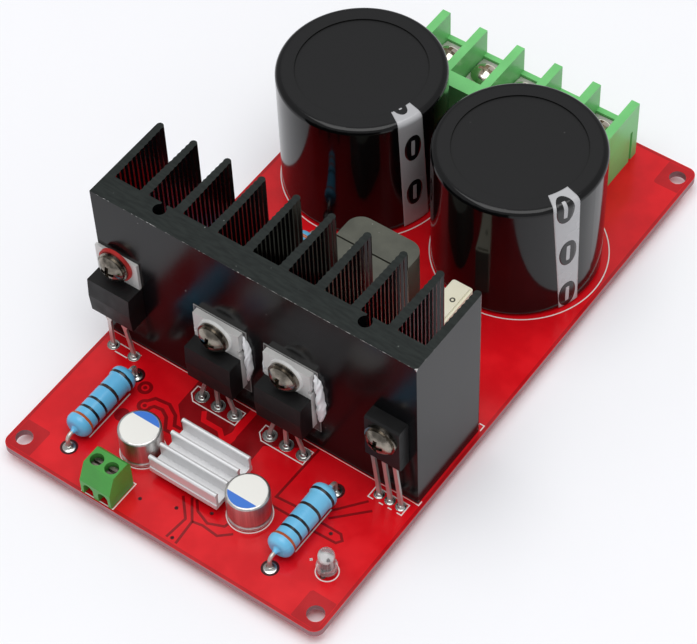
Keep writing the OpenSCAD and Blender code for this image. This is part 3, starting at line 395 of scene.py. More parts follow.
def heatsinkFinish(p):
    # black anodising drawn along the extrusion; the sawn ends are rough and grey, and their front edge is nicked
    low, high = boxMm("main_heatsink")
    material, tree, shader = newFinish("blackAnodised")
    grain = effect(tree, "grain", Scale=1500.0, Stretch=(1.0, 1.0, 0.03))
    saw = effect(tree, "grain", Scale=1900.0, Stretch=(0.18, 1.0, 1.0))
    x, y, z = placeAxes(tree)[:3]
    sawn = rampMm(tree, z, high[2] + p["sawnFrom"], high[2] + p["sawnFull"])
    drop = maths(tree, "SUBTRACT", high[2] * mm, z)
    depth = maths(tree, "SUBTRACT", y, low[1] * mm)
    fromEnd = maths(tree, "SUBTRACT", high[0] * mm, x)
    toFront, toEnd = maths(tree, "ADD", drop, depth), maths(tree, "ADD", drop, fromEnd)
    often = rampMm(tree, x, low[0], high[0], *p["nickAmount"])
    frontEdge = effect(tree, "wear", Distance=toFront, Width=p["nickWidth"] * mm, Scale=1700.0, Amount=often)["Mask"]
    endEdge = effect(tree, "wear", Distance=toEnd, Width=p["endWidth"] * mm, Scale=900.0, Amount=p["endAmount"])["Mask"]
    corner = effect(tree, "wear", Distance=maths(tree, "ADD", toFront, fromEnd), Width=p["cornerWidth"] * mm,
                    Scale=1500.0, Amount=p["cornerAmount"])["Mask"]
    worn = maths(tree, "MAXIMUM", corner, maths(tree, "MAXIMUM", frontEdge, endEdge))
    specks = effect(tree, "speck", Scale=1150.0, Share=0.035, Size=0.14)["Mask"]
    black = blend(tree, byNoise(tree, grain["Broad"]), *p["black"])
    grey = blend(tree, byNoise(tree, saw["Fine"]), *p["grey"])
    grey = blend(tree, maths(tree, "MULTIPLY", specks, p["speckShare"]), grey, p["speck"])
    dull = maths(tree, "MULTIPLY", sawn, p["sawnDull"])
    feed(tree, shader, {
        "Base Color": blend(tree, worn, blend(tree, sawn, black, grey), p["bare"]),
        "Roughness": maths(tree, "ADD", byNoise(tree, grain["Broad"], *p["gloss"]), dull),
        "Metallic": maths(tree, "MULTIPLY", worn, p["bareMetal"]), "Specular IOR Level": p["specular"]})
    bumpInto(tree, shader, blend(tree, sawn, grain["Fine"], saw["Fine"]), 0.25, 2e-5)
    return material


finishes["heatsink"] = heatsinkFinish(heatsinkLook)


# resistors: each band's place as a share of the body's length, width and colour
bandBlack, bandBrown = srgb(20, 22, 28), srgb(178, 84, 36)
frontBands = [(0.133, 0.5, bandBrown), (0.267, 0.5, bandBlack), (0.413, 0.5, bandBlack),
              (0.63, 0.55, srgb(44, 32, 30)), (0.875, 0.5, bandBlack)]
rearBands = [(0.16, 0.5, bandBrown), (0.32, 0.5, srgb(196, 92, 60)), (0.48, 0.5, bandBlack), (0.86, 0.5, bandBrown)]
resistorLook = {"lacquer": (srgb(94, 178, 223), srgb(124, 202, 239)), "gloss": (0.22, 0.36), "ripple": 0.22,
                "soft": 0.06, "bands": {"left": frontBands, "right": frontBands, "rear": rearBands}}


def resistorFinish(which, p):
    # glossy blue lacquer with colour bands at set distances from the body's near end
    low, high = boxMm(which + "_resistor_body")
    material, tree, shader = newFinish("blueLacquer" + which.capitalize())
    grain = effect(tree, "grain", Scale=900.0)
    ripple = maths(tree, "MULTIPLY", maths(tree, "SUBTRACT", grain["Fine"], 0.5), p["ripple"] * mm)
    along = maths(tree, "ADD", placeAxes(tree)[1], ripple)
    colour = blend(tree, byNoise(tree, grain["Broad"]), *p["lacquer"])
    for share, width, tone in p["bands"][which]:
        middle = low[1] + share * (high[1] - low[1])
        colour = blend(tree, bandMm(tree, along, middle - width / 2, middle + width / 2, p["soft"]), colour, tone)
    feed(tree, shader, {"Base Color": colour, "Roughness": byNoise(tree, grain["Broad"], *p["gloss"])})
    bumpInto(tree, shader, grain["Broad"], 0.3, 8e-5)
    return material


# reservoir capacitors: radius of the step round the disc, and where the dull top fades into the glossy shoulder
sleeveLook = {"wall": srgb(9, 9, 10), "disc": srgb(17, 17, 18), "stepShadow": srgb(6, 6, 6), "speck": srgb(130, 130, 130),
              "speckShare": 0.25, "gloss": (0.09, 0.16), "matt": (0.4, 0.5), "specular": 0.32, "discR": 12.5,
              "dullR": 14.6, "fade": 0.8, "topFrom": -0.5, "topFull": -0.4, "stepShadowIn": 0.12, "stepShadowOut": 0.02,
              "stepShadowSoft": 0.1}


def sleeveFinish(which, p):
    # shrink sleeve: glossy wall and shoulder, dull top and disc, a darker ring painted at the step as its shadow, a few
    # dust specks
    low, high = boxMm(which + "_reservoir_cap")
    material, tree, shader = newFinish(which + "BlackSleeve")
    grain = effect(tree, "grain", Scale=700.0)
    fine = effect(tree, "grain", Scale=5200.0)
    axis = axisMm(tree, *(low + high)[:2] / 2)
    above = rampMm(tree, axis["Height"], high[2] + p["topFrom"], high[2] + p["topFull"])
    disc = rampMm(tree, axis["Radius"], p["dullR"], p["dullR"] + p["fade"], 1.0, 0.0)
    disc = maths(tree, "MULTIPLY", above, disc)
    # painted shadow: a darker ring at the step round the disc, on the top only
    stepShadow = bandMm(tree, axis["Radius"], p["discR"] - p["stepShadowIn"], p["discR"] + p["stepShadowOut"], p["stepShadowSoft"])
    specks = effect(tree, "speck", Scale=520.0, Share=0.03, Size=0.07)["Mask"]
    colour = blend(tree, disc, p["wall"], p["disc"])
    colour = blend(tree, maths(tree, "MULTIPLY", specks, p["speckShare"]), colour, p["speck"])
    colour = blend(tree, maths(tree, "MULTIPLY", above, stepShadow), colour, p["stepShadow"])
    gloss, matt = byNoise(tree, grain["Broad"], *p["gloss"]), byNoise(tree, fine["Fine"], *p["matt"])
    feed(tree, shader, {"Base Color": colour, "Roughness": put(tree, "Mix", {0: disc, 2: gloss, 3: matt}).outputs[0],
                        "Specular IOR Level": p["specular"]})
    waves = maths(tree, "MULTIPLY", grain["Broad"], 2.0)
    bumpInto(tree, shader, maths(tree, "ADD", maths(tree, "MULTIPLY", fine["Fine"], disc), waves), 0.25, 3e-5)
    return material


# polymer cans: the printed top's radius, and on each can the chord's distance from the middle and the blue's side of it
canLook = {"white": srgb(240, 239, 233), "blue": srgb(60, 120, 212),
           "metal": (srgb(186, 184, 181), srgb(216, 214, 211)), "gloss": (0.32, 0.42), "printR": 3.55,
           "edge": 0.05, "topFrom": -0.35, "topFull": -0.3, "chordSoft": 0.03,
           "chord": {"left": 1.85, "right": -1.6}, "blueSide": {"left": (0.0, 1.0), "right": (1.0, 0.0)}}


def canFinish(which, p):
    # drawn aluminium can; its top is printed white with one blue segment beyond a chord
    low, high = boxMm(which + "_polymer_cap")
    centre = (low + high) / 2
    material, tree, shader = newFinish(which + "CanAluminium")
    drawn = effect(tree, "grain", Scale=1300.0, Stretch=(1.0, 1.0, 0.05))
    fine = effect(tree, "grain", Scale=3000.0)
    axis = axisMm(tree, centre[0], centre[1])
    above = rampMm(tree, axis["Height"], high[2] + p["topFrom"], high[2] + p["topFull"])
    inside = rampMm(tree, axis["Radius"], p["printR"] - p["edge"], p["printR"], 1.0, 0.0)
    ink = maths(tree, "MULTIPLY", above, inside)
    chord = centre[1] + p["chord"][which]
    beyond = rampMm(tree, placeAxes(tree)[1], chord - p["chordSoft"], chord + p["chordSoft"], *p["blueSide"][which])
    metal = blend(tree, byNoise(tree, drawn["Fine"]), *p["metal"])
    feed(tree, shader, {"Base Color": blend(tree, ink, metal, blend(tree, beyond, p["white"], p["blue"])),
                        "Metallic": maths(tree, "SUBTRACT", 1.0, ink),
                        "Roughness": byNoise(tree, drawn["Broad"], *p["gloss"])})
    bumpInto(tree, shader, fine["Fine"], 0.15, 1e-5)
    return material


# insulating sheets: colours of mica, paste film and split edge, with the film's and the edge's share
sheetLook = {"mica": (srgb(58, 58, 58), srgb(78, 78, 77)), "film": srgb(150, 150, 148), "filmShare": 0.3,
             "rim": srgb(178, 178, 176), "rimShare": 0.55, "rimWidth": 0.22, "rimSoft": 0.16, "gloss": (0.16, 0.3)}


def sheetFinish(which, p):
    # mica sheet: the dark face behind shows through, with pale split edges and a film of paste
    low, high = boxMm(which + "_mosfet_insulator")
    material, tree, shader = newFinish(which + "MicaSheet")
    grain = effect(tree, "grain", Scale=1200.0)
    axes = placeAxes(tree)
    sides = [bandMm(tree, axes[i], low[i] + p["rimWidth"], high[i] - p["rimWidth"], p["rimSoft"]) for i in (0, 2)]
    rim = maths(tree, "SUBTRACT", 1.0, maths(tree, "MULTIPLY", *sides))
    film = ramp(tree, grain["Broad"], 0.5, 0.62)
    colour = blend(tree, byNoise(tree, grain["Fine"]), *p["mica"])
    colour = blend(tree, maths(tree, "MULTIPLY", film, p["filmShare"]), colour, p["film"])
    colour = blend(tree, maths(tree, "MULTIPLY", rim, p["rimShare"]), colour, p["rim"])
    feed(tree, shader, {"Base Color": colour, "Roughness": byNoise(tree, grain["Broad"], *p["gloss"])})
    bumpInto(tree, shader, grain["Fine"], 0.2, 2e-5)
    return material


filmLook = {"cream": (srgb(230, 225, 200), srgb(240, 237, 218)), "ink": srgb(26, 25, 24), "inkShare": 0.95,
            "gloss": (0.28, 0.42), "ringX": 18.7, "ringY": 2.1, "ringIn": 0.3, "ringOut": 0.52, "ringSoft": 0.06,
            "topFrom": -0.1, "topFull": -0.05}


def filmFinish(p):
    # cream epoxy with one small plain ring printed near an end of its top
    high = boxMm("film_capacitor")[1]
    material, tree, shader = newFinish("creamEpoxy")
    grain = effect(tree, "grain", Scale=1600.0)
    axis = axisMm(tree, p["ringX"], p["ringY"])
    top = rampMm(tree, axis["Height"], high[2] + p["topFrom"], high[2] + p["topFull"])
    ring = maths(tree, "MULTIPLY", top, bandMm(tree, axis["Radius"], p["ringIn"], p["ringOut"], p["ringSoft"]))
    colour = blend(tree, byNoise(tree, grain["Broad"]), *p["cream"])
    colour = blend(tree, maths(tree, "MULTIPLY", ring, p["inkShare"]), colour, p["ink"])
    feed(tree, shader, {"Base Color": colour, "Roughness": byNoise(tree, grain["Broad"], *p["gloss"])})
    bumpInto(tree, shader, grain["Fine"], 0.3, 2e-5)
    return material


lensLook = {"clear": (srgb(240, 240, 242), srgb(252, 252, 252)), "gloss": (0.04, 0.12), "through": 0.8, "index": 1.46}


def lensFinish(p):
    # clear epoxy: faint grey tint and small flow marks
    material, tree, shader = newFinish("clearLens")
    grain = effect(tree, "grain", Scale=1100.0)
    feed(tree, shader, {"Base Color": blend(tree, grain["Broad"], *p["clear"]),
                        "Roughness": byNoise(tree, grain["Broad"], *p["gloss"]),
                        "Transmission Weight": p["through"], "IOR": p["index"]})
    bumpInto(tree, shader, grain["Broad"], 0.15, 5e-5)
    return material


powerWays, inputWays, pair = range(1, 6), range(1, 3), ("left", "right")
wearers = {
    "mask": ["circuit_board"], "heatsink": ["main_heatsink"], "extrusion": ["chip_heatsink"],
    "greenInput": ["input_terminal_housing"], "greenPower": ["power_terminal_housing"],
    "ferrite": ["inductor_core"], "fibre": ["thermal_switch_washer"],
    "moulding": ["thermal_switch_case", "driver_transistor_case", "driver_chip_case"]
                + [side + "_mosfet_case" for side in pair],
    "tab": ["thermal_switch_bracket"] + [side + "_mosfet_tab" for side in pair],
    "bush": [side + "_mosfet_bush" for side in pair],
    "steelPaintedReflections": ["heatsink_screws", "thermal_switch_screw", "driver_transistor_screw"]
             + [side + "_mosfet_screw" for side in pair] + [f"input_screw_{way}" for way in inputWays],
    "nickel": [f"power_screw_{way}" for way in powerWays],
    "lead": ["thermal_switch_leads", "driver_transistor_leads", "resistor_leads", "polymer_cap_leads",
             "driver_chip_pins", "input_contacts", "power_contacts", "reservoir_cap_pins", "inductor_leads",
             "led_leads"]
            + [side + "_mosfet_leads" for side in pair] + [f"power_clamp_{way}" for way in powerWays]
            + [f"input_cage_{way}" for way in inputWays],
}
nodeFinish = {node: finishes[key] for key, group in wearers.items() for node in group}
nodeFinish["film_capacitor"] = filmFinish(filmLook)
nodeFinish["led_lens"] = lensFinish(lensLook)
for which in resistorLook["bands"]:
    nodeFinish[which + "_resistor_body"] = resistorFinish(which, resistorLook)
for side in pair:
    nodeFinish[side + "_polymer_cap"] = canFinish(side, canLook)
    nodeFinish[side + "_reservoir_cap"] = sleeveFinish(side, sleeveLook)
    nodeFinish[side + "_mosfet_insulator"] = sheetFinish(side, sheetLook)
for name, solid in nodes.items():
    if not solid.material_slots:
        solid.data.materials.append(nodeFinish[name])
    for place in solid.material_slots:
        place.material = nodeFinish[name]
print("finishes on", len(nodeFinish), "solids")


# board print: bare laminate zones, which in front of the transistors also stand in for painted shade, dark gaps between
# copper areas, live tracks and vias, each with its rise
boardPrint = {
    "rise": {"zone": 0.006, "spot": 0.007, "moat": 0.008, "border": 0.009, "gap": 0.01, "track": 0.014, "ring": 0.016,
             "via": 0.018},
    "gapWidth": 0.5,
    "gaps": [
        [(-1.0, -52.9), (2.3, -56.5), (1.8, -61.3)], [(0.5, -52.3), (3.6, -56.3), (4.0, -61.5)],
        [(3.6, -56.3), (5.6, -55.9), (9.0, -56.2), (11.1, -54.3)],
        [(1.5, -52.2), (3.1, -54.0), (6.0, -55.1), (8.9, -53.9), (9.2, -52.7)],
        [(12.9, -31.4), (12.6, -43.8), (16.3, -43.5), (18.6, -43.4)], [(12.8, -45.7), (18.4, -45.6)],
        [(22.1, -40.9), (26.5, -35.4)], [(22.8, -42.3), (28.2, -36.7)],
        [(21.6, -43.7), (26.5, -43.7), (27.5, -44.7), (26.8, -45.7), (21.6, -45.9)],
    ],
    "shadedBareZones": [  # right and left edges of each bare zone, seen along its way to the input edge; their darkness next to the transistors is partly painted shade
        ([(-14.1, -31.2), (-13.9, -37.8), (-9.4, -42.4)], [(-2.4, -31.2), (-2.2, -37.2), (-4.4, -42.4)]),
        ([(-0.9, -31.2), (-0.9, -38.6), (-1.4, -42.4)], [(13.0, -31.2), (4.2, -36.4), (4.4, -42.4)]),
    ],
    "copper": [  # live tracks crossing the bare zones; the first has a bare moat of its own
        [(-18.8, -41.4), (-17.7, -39.8), (-15.4, -39.5), (-13.4, -40.6), (-12.0, -42.7), (-10.0, -42.6)],
        [(-9.1, -36.3), (-8.0, -38.0), (-4.3, -38.0), (-2.1, -39.9), (-2.1, -42.4)],
        [(-2.5, -34.1), (-1.2, -38.2), (-1.5, -40.5)],
    ],
    "copperWidth": 0.95, "moat": 2.3, "moatR": 1.45, "ringR": 0.75,
    "vias": [(-6.9, -57.7), (-0.4, -55.6), (2.8, -60.9), (5.4, -53.0), (25.0, -44.6)],
    "ringedVias": [(-21.2, -38.2), (-18.8, -41.4)], "bareDot": (-20.9, -45.3),
    "viaIn": 0.3, "viaOut": 0.38, "dotIn": 0.02, "dotOut": 0.4, "viaSteps": 24,
    "border": 0.55, "borderInset": 0.1, "borderGap": 0.2, "borderCorner": 1.6,
    "holes": np.array([32.3, 59.1]), "holeRim": 1.7, "holeZone": np.array([3.4, 3.5]), "holeCorner": 4.6,
}


def roundedSquare(centre, half, radius, steps=8):
    # quarter arcs at the four corners, joined by straight sides
    a = np.radians(np.linspace(0, 90, steps))
    turn = np.repeat(np.arange(4) * np.pi / 2, steps) + np.tile(a, 4)
    corner = np.repeat(np.array([(1, 1), (-1, 1), (-1, -1), (1, -1)]), steps, 0) * (np.array(half) - radius)
    return np.array(centre) + corner + radius * np.c_[np.cos(turn), np.sin(turn)]


def holeZone(side, p):
    # from the hole's round rim out to the border or the zone's own edge; no direction lies along an axis
    away = arcPath((0, 0), 1, 3, 363, 96)
    outward = boardHigh[:2] - p["border"] - p["borderGap"] - p["holes"]
    reach = np.where(away * side > 0, outward, p["holeZone"]) / np.abs(away)
    outer = side * p["holes"] + away * np.minimum(reach.min(1), p["holeCorner"])[:, None]
    return printBetween(side * p["holes"] + p["holeRim"] * away, outer, p["rise"]["zone"], True)


def drawBoard(p):
    rise = p["rise"]
    # the zones in front of the transistors are dark partly as bare laminate and partly as painted shade of the cases
    # and heatsink
    bare = [printBetween(left, right, rise["zone"]) for right, left in p["shadedBareZones"]]
    bare.append(printLine(p["copper"][0], p["moat"], rise["moat"]))
    bare += [printRing(v, p["dotIn"], p["moatR"], rise["spot"]) for v in p["ringedVias"] + [p["bareDot"]]]
    thin = [holeZone(np.array([sx, sy]), p) for sx in (-1, 1) for sy in (-1, 1)]
    edge = roundedSquare((0, 0), boardHigh[:2] - p["border"] / 2 - p["borderInset"], p["borderCorner"])
    thin.append(printLine(edge[::-1], p["border"], rise["border"], True))
    gaps = [printLine(path, p["gapWidth"], rise["gap"]) for path in p["gaps"]]
    tracks = [printLine(path, p["copperWidth"], rise["track"]) for path in p["copper"]]
    tracks += [printRing(v, p["viaIn"], p["ringR"], rise["ring"]) for v in p["ringedVias"]]
    rings = [printRing(v, p["viaIn"], p["viaOut"], rise["via"], p["viaSteps"]) for v in p["vias"]]
    rings += [printRing(v, p["dotIn"], p["dotOut"], rise["via"], p["viaSteps"]) for v in p["ringedVias"]]
    addPiece("bareZonesAndPaintedShade", bare, finishes["bareMask"], smooth=False)
    addPiece("edgeZones", thin, finishes["thinMask"], smooth=False)
    addPiece("copperGaps", gaps, finishes["bareMask"], smooth=False)
    addPiece("liveTracks", tracks, finishes["mask"], smooth=False)
    addPiece("viaRings", rings, finishes["bareMask"], smooth=False)


drawBoard(boardPrint)

# white outlines: lines, rings of centre and radius, the seam at the heatsink's foot, the lamp's open ring
outlines = {
    "width": 0.22, "rise": 0.025,
    "lines": [
        [(-12.6, -32.5), (-13.5, -32.5), (-13.5, -34.4), (-12.2, -35.7), (-2.7, -35.7), (-2.7, -32.5), (-5.8, -32.5)],
        [(2.8, -32.5), (1.9, -32.5), (1.9, -34.4), (3.2, -35.7), (12.4, -35.7), (12.4, -32.5), (9.4, -32.5)],
        [(-33.1, -32.9), (-26.3, -32.9)], [(-31.0, -34.8), (-28.2, -34.8)],
        [(26.9, -34.6), (25.8, -34.6), (25.8, -32.1), (32.9, -32.1), (32.9, -34.6), (31.9, -34.6)],
        [(28.1, -34.6), (29.0, -34.6)], [(30.0, -34.6), (30.8, -34.6)],
        [(33.2, -10.6), (34.2, -10.6), (34.2, -11.9)],
        [(-33.4, -10.6), (-34.4, -10.6), (-34.4, -11.9)], [(34.2, -30.2), (34.2, -31.2), (33.6, -31.2)],
        [(22.15, -51.1), (22.15, -40.5)], [(-22.6, -52.5), (-22.6, -40.8)],
        [(-10.3, -55.7), (-9.4, -55.7), (-9.4, -62.15), (-16.6, -62.15)],
        [(25.0, -50.8), (25.6, -50.8)], [(25.3, -51.1), (25.3, -50.5)],
        [(-22.9, 43.3), (22.5, 43.3)], [(-22.4, 60.3), (22.0, 60.3)],
    ],
    "rings": [((-17.9, 27.15), 16.9), ((16.9, 27.15), 16.9), ((-12.95, -49.2), 4.14), ((10.9, -49.2), 4.14)],
    "ringSteps": 96, "foot": [(-34.3, -31.18), (33.8, -31.18)], "footWidth": 0.1,
    "lamp": ((29.0, -51.2), 2.05, -200, 100),
}


def drawOutlines(p):
    lines = [printLine(path, p["width"], p["rise"]) for path in p["lines"]]
    for centre, radius in p["rings"]:
        ring = arcPath(centre, radius, steps=p["ringSteps"])
        lines.append(printLine(ring[::-1], p["width"], p["rise"], True))
    lines.append(printLine(p["foot"], p["footWidth"], p["rise"]))
    lines.append(printLine(arcPath(*p["lamp"]), p["width"], p["rise"]))
    addPiece("whiteOutlines", lines, finishes["ink"], smooth=False)


drawOutlines(outlines)
print("board print drawn")


# solder: a concave fillet round every lead, on the top where the lead is seen and on the underside
solderJoint = {
    "topRise": 0.5, "underRise": 0.95, "lip": 0.035, "curve": 2.2, "steps": 9, "tipClear": 0.15, "leadGap": 0.05,
    "leadShare": 0.7, "discIn": 0.3, "discRise": 0.02, "rimWidth": 0.14, "highlightRimRise": 0.045, "clearRise": 0.018,
    "overlap": 0.05, "ringSteps": 32,
}
leadPads = {  # radius of the pad, and of the fillet, the dull disc and the dark clearance on top
    "left_mosfet_leads": (1.1, 0.85, 1.4, 0), "right_mosfet_leads": (1.1, 0.85, 1.4, 0),
    "thermal_switch_leads": (1.05, 0.85, 1.2, 0), "driver_transistor_leads": (0.98, 0.9, 1.02, 0),
    "resistor_leads": (1.3, 1.25, 0, 1.65), "polymer_cap_leads": (0.95, 0, 0, 0), "input_contacts": (1.15, 0, 0, 0),
    "power_contacts": (1.6, 0, 0, 0), "reservoir_cap_pins": (1.6, 0, 0, 0), "inductor_leads": (1.2, 0, 0, 0),
    "led_leads": (0.85, 0, 0, 0), "film_capacitor": (1.1, 0, 0, 0),
}


def splitApart(points, axis, apart=1.0):
    # groups of points that lie more than a millimetre from each other along the axis
    points = points[np.argsort(points[:, axis])]
    return np.split(points, np.flatnonzero(np.diff(points[:, axis]) > apart) + 1)


def leadPlaces(node, below=0.2):
    # the points under the board, split in x and then in y: middle, half width and tip of each lead
    co = np.zeros(len(nodes[node].data.vertices) * 3)
    nodes[node].data.vertices.foreach_get("co", co)
    points = co.reshape(-1, 3) / mm
    points = points[points[:, 2] < boardUnder - below]
    places = []
    for pin in (pin for group in splitApart(points, 0) for pin in splitApart(group, 1)):
        low, high = pin.min(0), pin.max(0)
        places.append(((low + high)[:2] / 2, (high - low)[:2].max() / 2, low[2]))
    return places


def fillet(centre, padR, leadR, start, rise, p):
    # height grows with a power of the way from the pad's rim to the lead, above a small lip
    t = np.linspace(0, 1, p["steps"])
    r = padR + (leadR - padR) * t
    lip = np.sign(rise) * p["lip"]
    z = start + lip * np.minimum(1, t * p["steps"]) + (rise - lip) * t ** p["curve"]
    return turned(np.r_[np.c_[r, z], [[0.0, start + rise]]], centre, flip=rise < 0)


def drawSolder(p, pads):
    fillets, discs, rims = [], [], []
    for node, (padR, topR, discR, clearR) in pads.items():
        for centre, leadR, tip in leadPlaces(node):
            leadR = min(leadR + p["leadGap"], padR * p["leadShare"])
            drop = min(p["underRise"], boardUnder - tip - p["tipClear"])
            fillets.append(fillet(centre, padR, leadR, boardUnder, -drop, p))
            if topR:
                fillets.append(fillet(centre, topR, leadR, boardTop, p["topRise"], p))
            if discR:
                discs.append(printRing(centre, p["discIn"], discR, p["discRise"], p["ringSteps"]))
                # a raised ring of shiny solder round the dull disc; its brighter finish is a painted edge highlight
                fillets.append(printRing(centre, discR - p["rimWidth"], discR, p["highlightRimRise"], p["ringSteps"]))
            if clearR:
                rims.append(printRing(centre, topR - p["overlap"], clearR, p["clearRise"], p["ringSteps"]))
    addPiece("solderJoints", fillets, finishes["solder"])
    addPiece("dullPads", discs, finishes["pad"], smooth=False)
    addPiece("padClearances", rims, finishes["clearance"], smooth=False)
    print("solder joints:", len(fillets))


drawSolder(solderJoint, leadPads)


# lacquer drawn out along the leads at both ends of the resistors; sizes for a body of the given width
lacquerCone = {"start": 1.35, "end": 0.43, "length": 1.15, "sunk": 0.3, "fall": 2.6, "bodyWidth": 5.1}


def drawLacquer(p):
    # the radius falls with a power of the way along the lead, carried round the body's axis
    t, a = np.meshgrid(np.linspace(0, 1, 10), np.linspace(0, 2 * np.pi, 24, endpoint=False), indexing="ij")
    radius = p["end"] + (p["start"] - p["end"]) * (1 - t) ** p["fall"]
    for which in resistorLook["bands"]:
        node = which + "_resistor_body"
        low, high = boxMm(node)
        middle, scale = (low + high) / 2, (high[0] - low[0]) / p["bodyWidth"]
        x, z = middle[0] + scale * radius * np.cos(a), middle[2] + scale * radius * np.sin(a)
        cones = []
        for end, sign in ((low[1], -1), (high[1], 1)):
            along = end + sign * scale * (p["length"] * t - p["sunk"])
            cones.append(surface(np.stack([x, along, z], -1), roundCols=True, flip=sign > 0))
        addPiece(which + "LacquerCones", cones, nodeFinish[node])


drawLacquer(lacquerCone)
print("lacquer drawn out")


# thermal paste squeezed out along both sides of each transistor's tab: x from the tab's edge and height along
# the path, with half width and depth
pasteRuns = {
    "left_mosfet_tab": [
        {"path": [(0.1, 25.2), (0.75, 23.6), (1.0, 20.4), (1.0, 16.6), (0.3, 12.2)],
         "half": [0.25, 0.6, 0.75, 0.7, 0.3], "out": [0.4, 0.8, 1.0, 0.9, 0.4], "edge": 1},
        {"path": [(-0.1, 25.6), (-0.45, 22.6), (-0.6, 19.4), (-0.3, 17.2)],
         "half": [0.2, 0.35, 0.4, 0.2], "out": [0.3, 0.6, 0.6, 0.3], "edge": -1},
    ],
    "right_mosfet_tab": [
        {"path": [(0.2, 25.7), (0.9, 24.2), (1.15, 20.9), (1.35, 17.2), (0.75, 12.2)],
         "half": [0.3, 0.7, 0.85, 0.95, 0.6], "out": [0.4, 0.9, 1.1, 1.1, 0.6], "edge": 1},
        {"path": [(-0.1, 25.6), (-0.6, 22.0), (-0.75, 19.0), (-0.4, 17.0)],
         "half": [0.2, 0.4, 0.45, 0.25], "out": [0.3, 0.6, 0.6, 0.3], "edge": -1},
    ],
}
pasteForm = {"acrossLumps": 0.22, "outLumps": 0.3, "alongLumps": 0.15, "blunt": 8, "sunk": 0.05, "seed": 11,
             "seedStep": 5}


def smoothNoise(seed, rows, cols, waves=7):
    # a sum of sine waves with seeded directions and phases over the two parameters
    rng = np.random.default_rng(seed)
    u, v = np.meshgrid(np.linspace(0, 1, rows), np.linspace(0, 1, cols), indexing="ij")
    k = rng.uniform(2, 9, (2, waves)) * 2 * np.pi
    phase, weight = rng.uniform(0, 2 * np.pi, waves), rng.uniform(0.4, 1.0, waves)
    total = (weight * np.sin(u[..., None] * k[0] + v[..., None] * k[1] * 0.4 + phase)).sum(-1)
    return total / np.abs(total).max()


def pasteRidge(run, p, edgeX, faceY, seed, rows=44, cols=15):
    # half an ellipse across the run, carried down its path on the sink's face and made lumpy by noise
    path = np.array(run["path"])
    t, at = np.linspace(0, 1, len(path)), np.linspace(0, 1, rows)
    x, z = edgeX + np.interp(at, t, path[:, 0]), np.interp(at, t, path[:, 1])
    half, out = np.interp(at, t, run["half"]), np.interp(at, t, run["out"])
    tip = np.sqrt(np.clip(1 - (2 * at - 1) ** p["blunt"], 0, 1))  # closes both ends
    lumps = smoothNoise(seed, rows, cols)
    a = np.linspace(0, np.pi, cols)
    across = np.cos(a) * (half * tip)[:, None] * (1 + p["acrossLumps"] * lumps)
    proud = np.sin(a) * (out * tip)[:, None] * (1 + p["outLumps"] * lumps)
    height = z[:, None] + p["alongLumps"] * lumps * tip[:, None]
    return surface(np.stack([x[:, None] - across, faceY - proud, height], -1), flip=True)


def drawPaste(runs, p):
    ridges = []
    for number, (node, sides) in enumerate(runs.items()):
        low, high = boxMm(node)
        face = boxMm(node.replace("tab", "insulator"))[0][1] + p["sunk"]
        for i, run in enumerate(sides):
            seed = p["seed"] + p["seedStep"] * number + i
            ridges.append(pasteRidge(run, p, high[0] if run["edge"] > 0 else low[0], face, seed))
    addPiece("thermalPaste", ridges, finishes["paste"])


drawPaste(pasteRuns, pasteForm)
print("paste squeezed out")


# reservoir capacitors: a pale stripe from the disc's edge over the shoulder to the foot, with dark ovals in it
# stripe: angle and angular width at its start, at the bend and at the foot; ovals: angle and way of each middle
capStripe = {
    "discR": 12.55, "shoulder": 1.1, "start": 0.04, "bendAt": 4.2, "foot": 0.3,
    "stripeProud": 0.03, "ovalProud": 0.045, "barProud": 0.06,
    "ovalHalf": (1.85, 3.3), "ovalPower": 0.9, "barHalf": (0.4, 1.95), "barPower": 0.08,
    "stripe": {"left": [(-20.0, 18.8), (-21.0, 19.0), (-16.8, 20.9)],
               "right": [(-24.5, 18.6), (-25.5, 19.9), (-20.1, 15.2)]},
    "ovals": {"left": [(-21.0, -1.6), (-19.5, 10.8), (-18.5, 23.2)],
              "right": [(-26.6, 4.4), (-23.0, 16.6), (-21.7, 28.5)]},
}


def sleevePoint(angle, way, node, p, proud):
    # way runs from the disc over the shoulder's quarter circle and down the wall; proud is along the normal
    low, high = boxMm(node)
    wall, top, r = (high[0] - low[0]) / 2, high[2], p["shoulder"]
    flat = wall - r - p["discR"]
    bend = np.clip((way - flat) / r, 0, np.pi / 2)
    out = np.minimum(way, flat) + p["discR"] + (r + proud) * np.sin(bend)
    down = np.clip(way - flat - r * np.pi / 2, 0, None)
    height = top - r + (r + proud) * np.cos(bend) - down
    centre, a = (low + high) / 2, np.radians(angle)
    return np.stack([centre[0] + out * np.cos(a), centre[1] + out * np.sin(a), height], -1)


def sleevePatch(angle, way, node, p, proud):
    # a printed patch: its outermost ring of points is doubled and drops to the sleeve
    lift = np.pad(np.full(way.shape, proud), 1)
    angle, way = np.pad(angle, 1, mode="edge"), np.pad(way, 1, mode="edge")
    return surface(sleevePoint(angle, way, node, p, lift), flip=True)


def ovalPatch(angle, along, half, node, p, proud, power):
    # down the oval goes the sine of t, its half width is a power of the cosine of t, and the disc's edge cuts it off
    low, high = boxMm(node)
    first = np.arcsin(np.clip((p["start"] - along) / half[1], -1, 1))
    t, u = np.meshgrid(np.linspace(first, np.pi / 2, 33), np.linspace(-1, 1, 9), indexing="ij")
    x = u * half[0] * np.clip(np.cos(t), 0, 1) ** power
    return sleevePatch(angle + np.degrees(x / (high[0] - low[0]) * 2), along + half[1] * np.sin(t), node, p, proud)


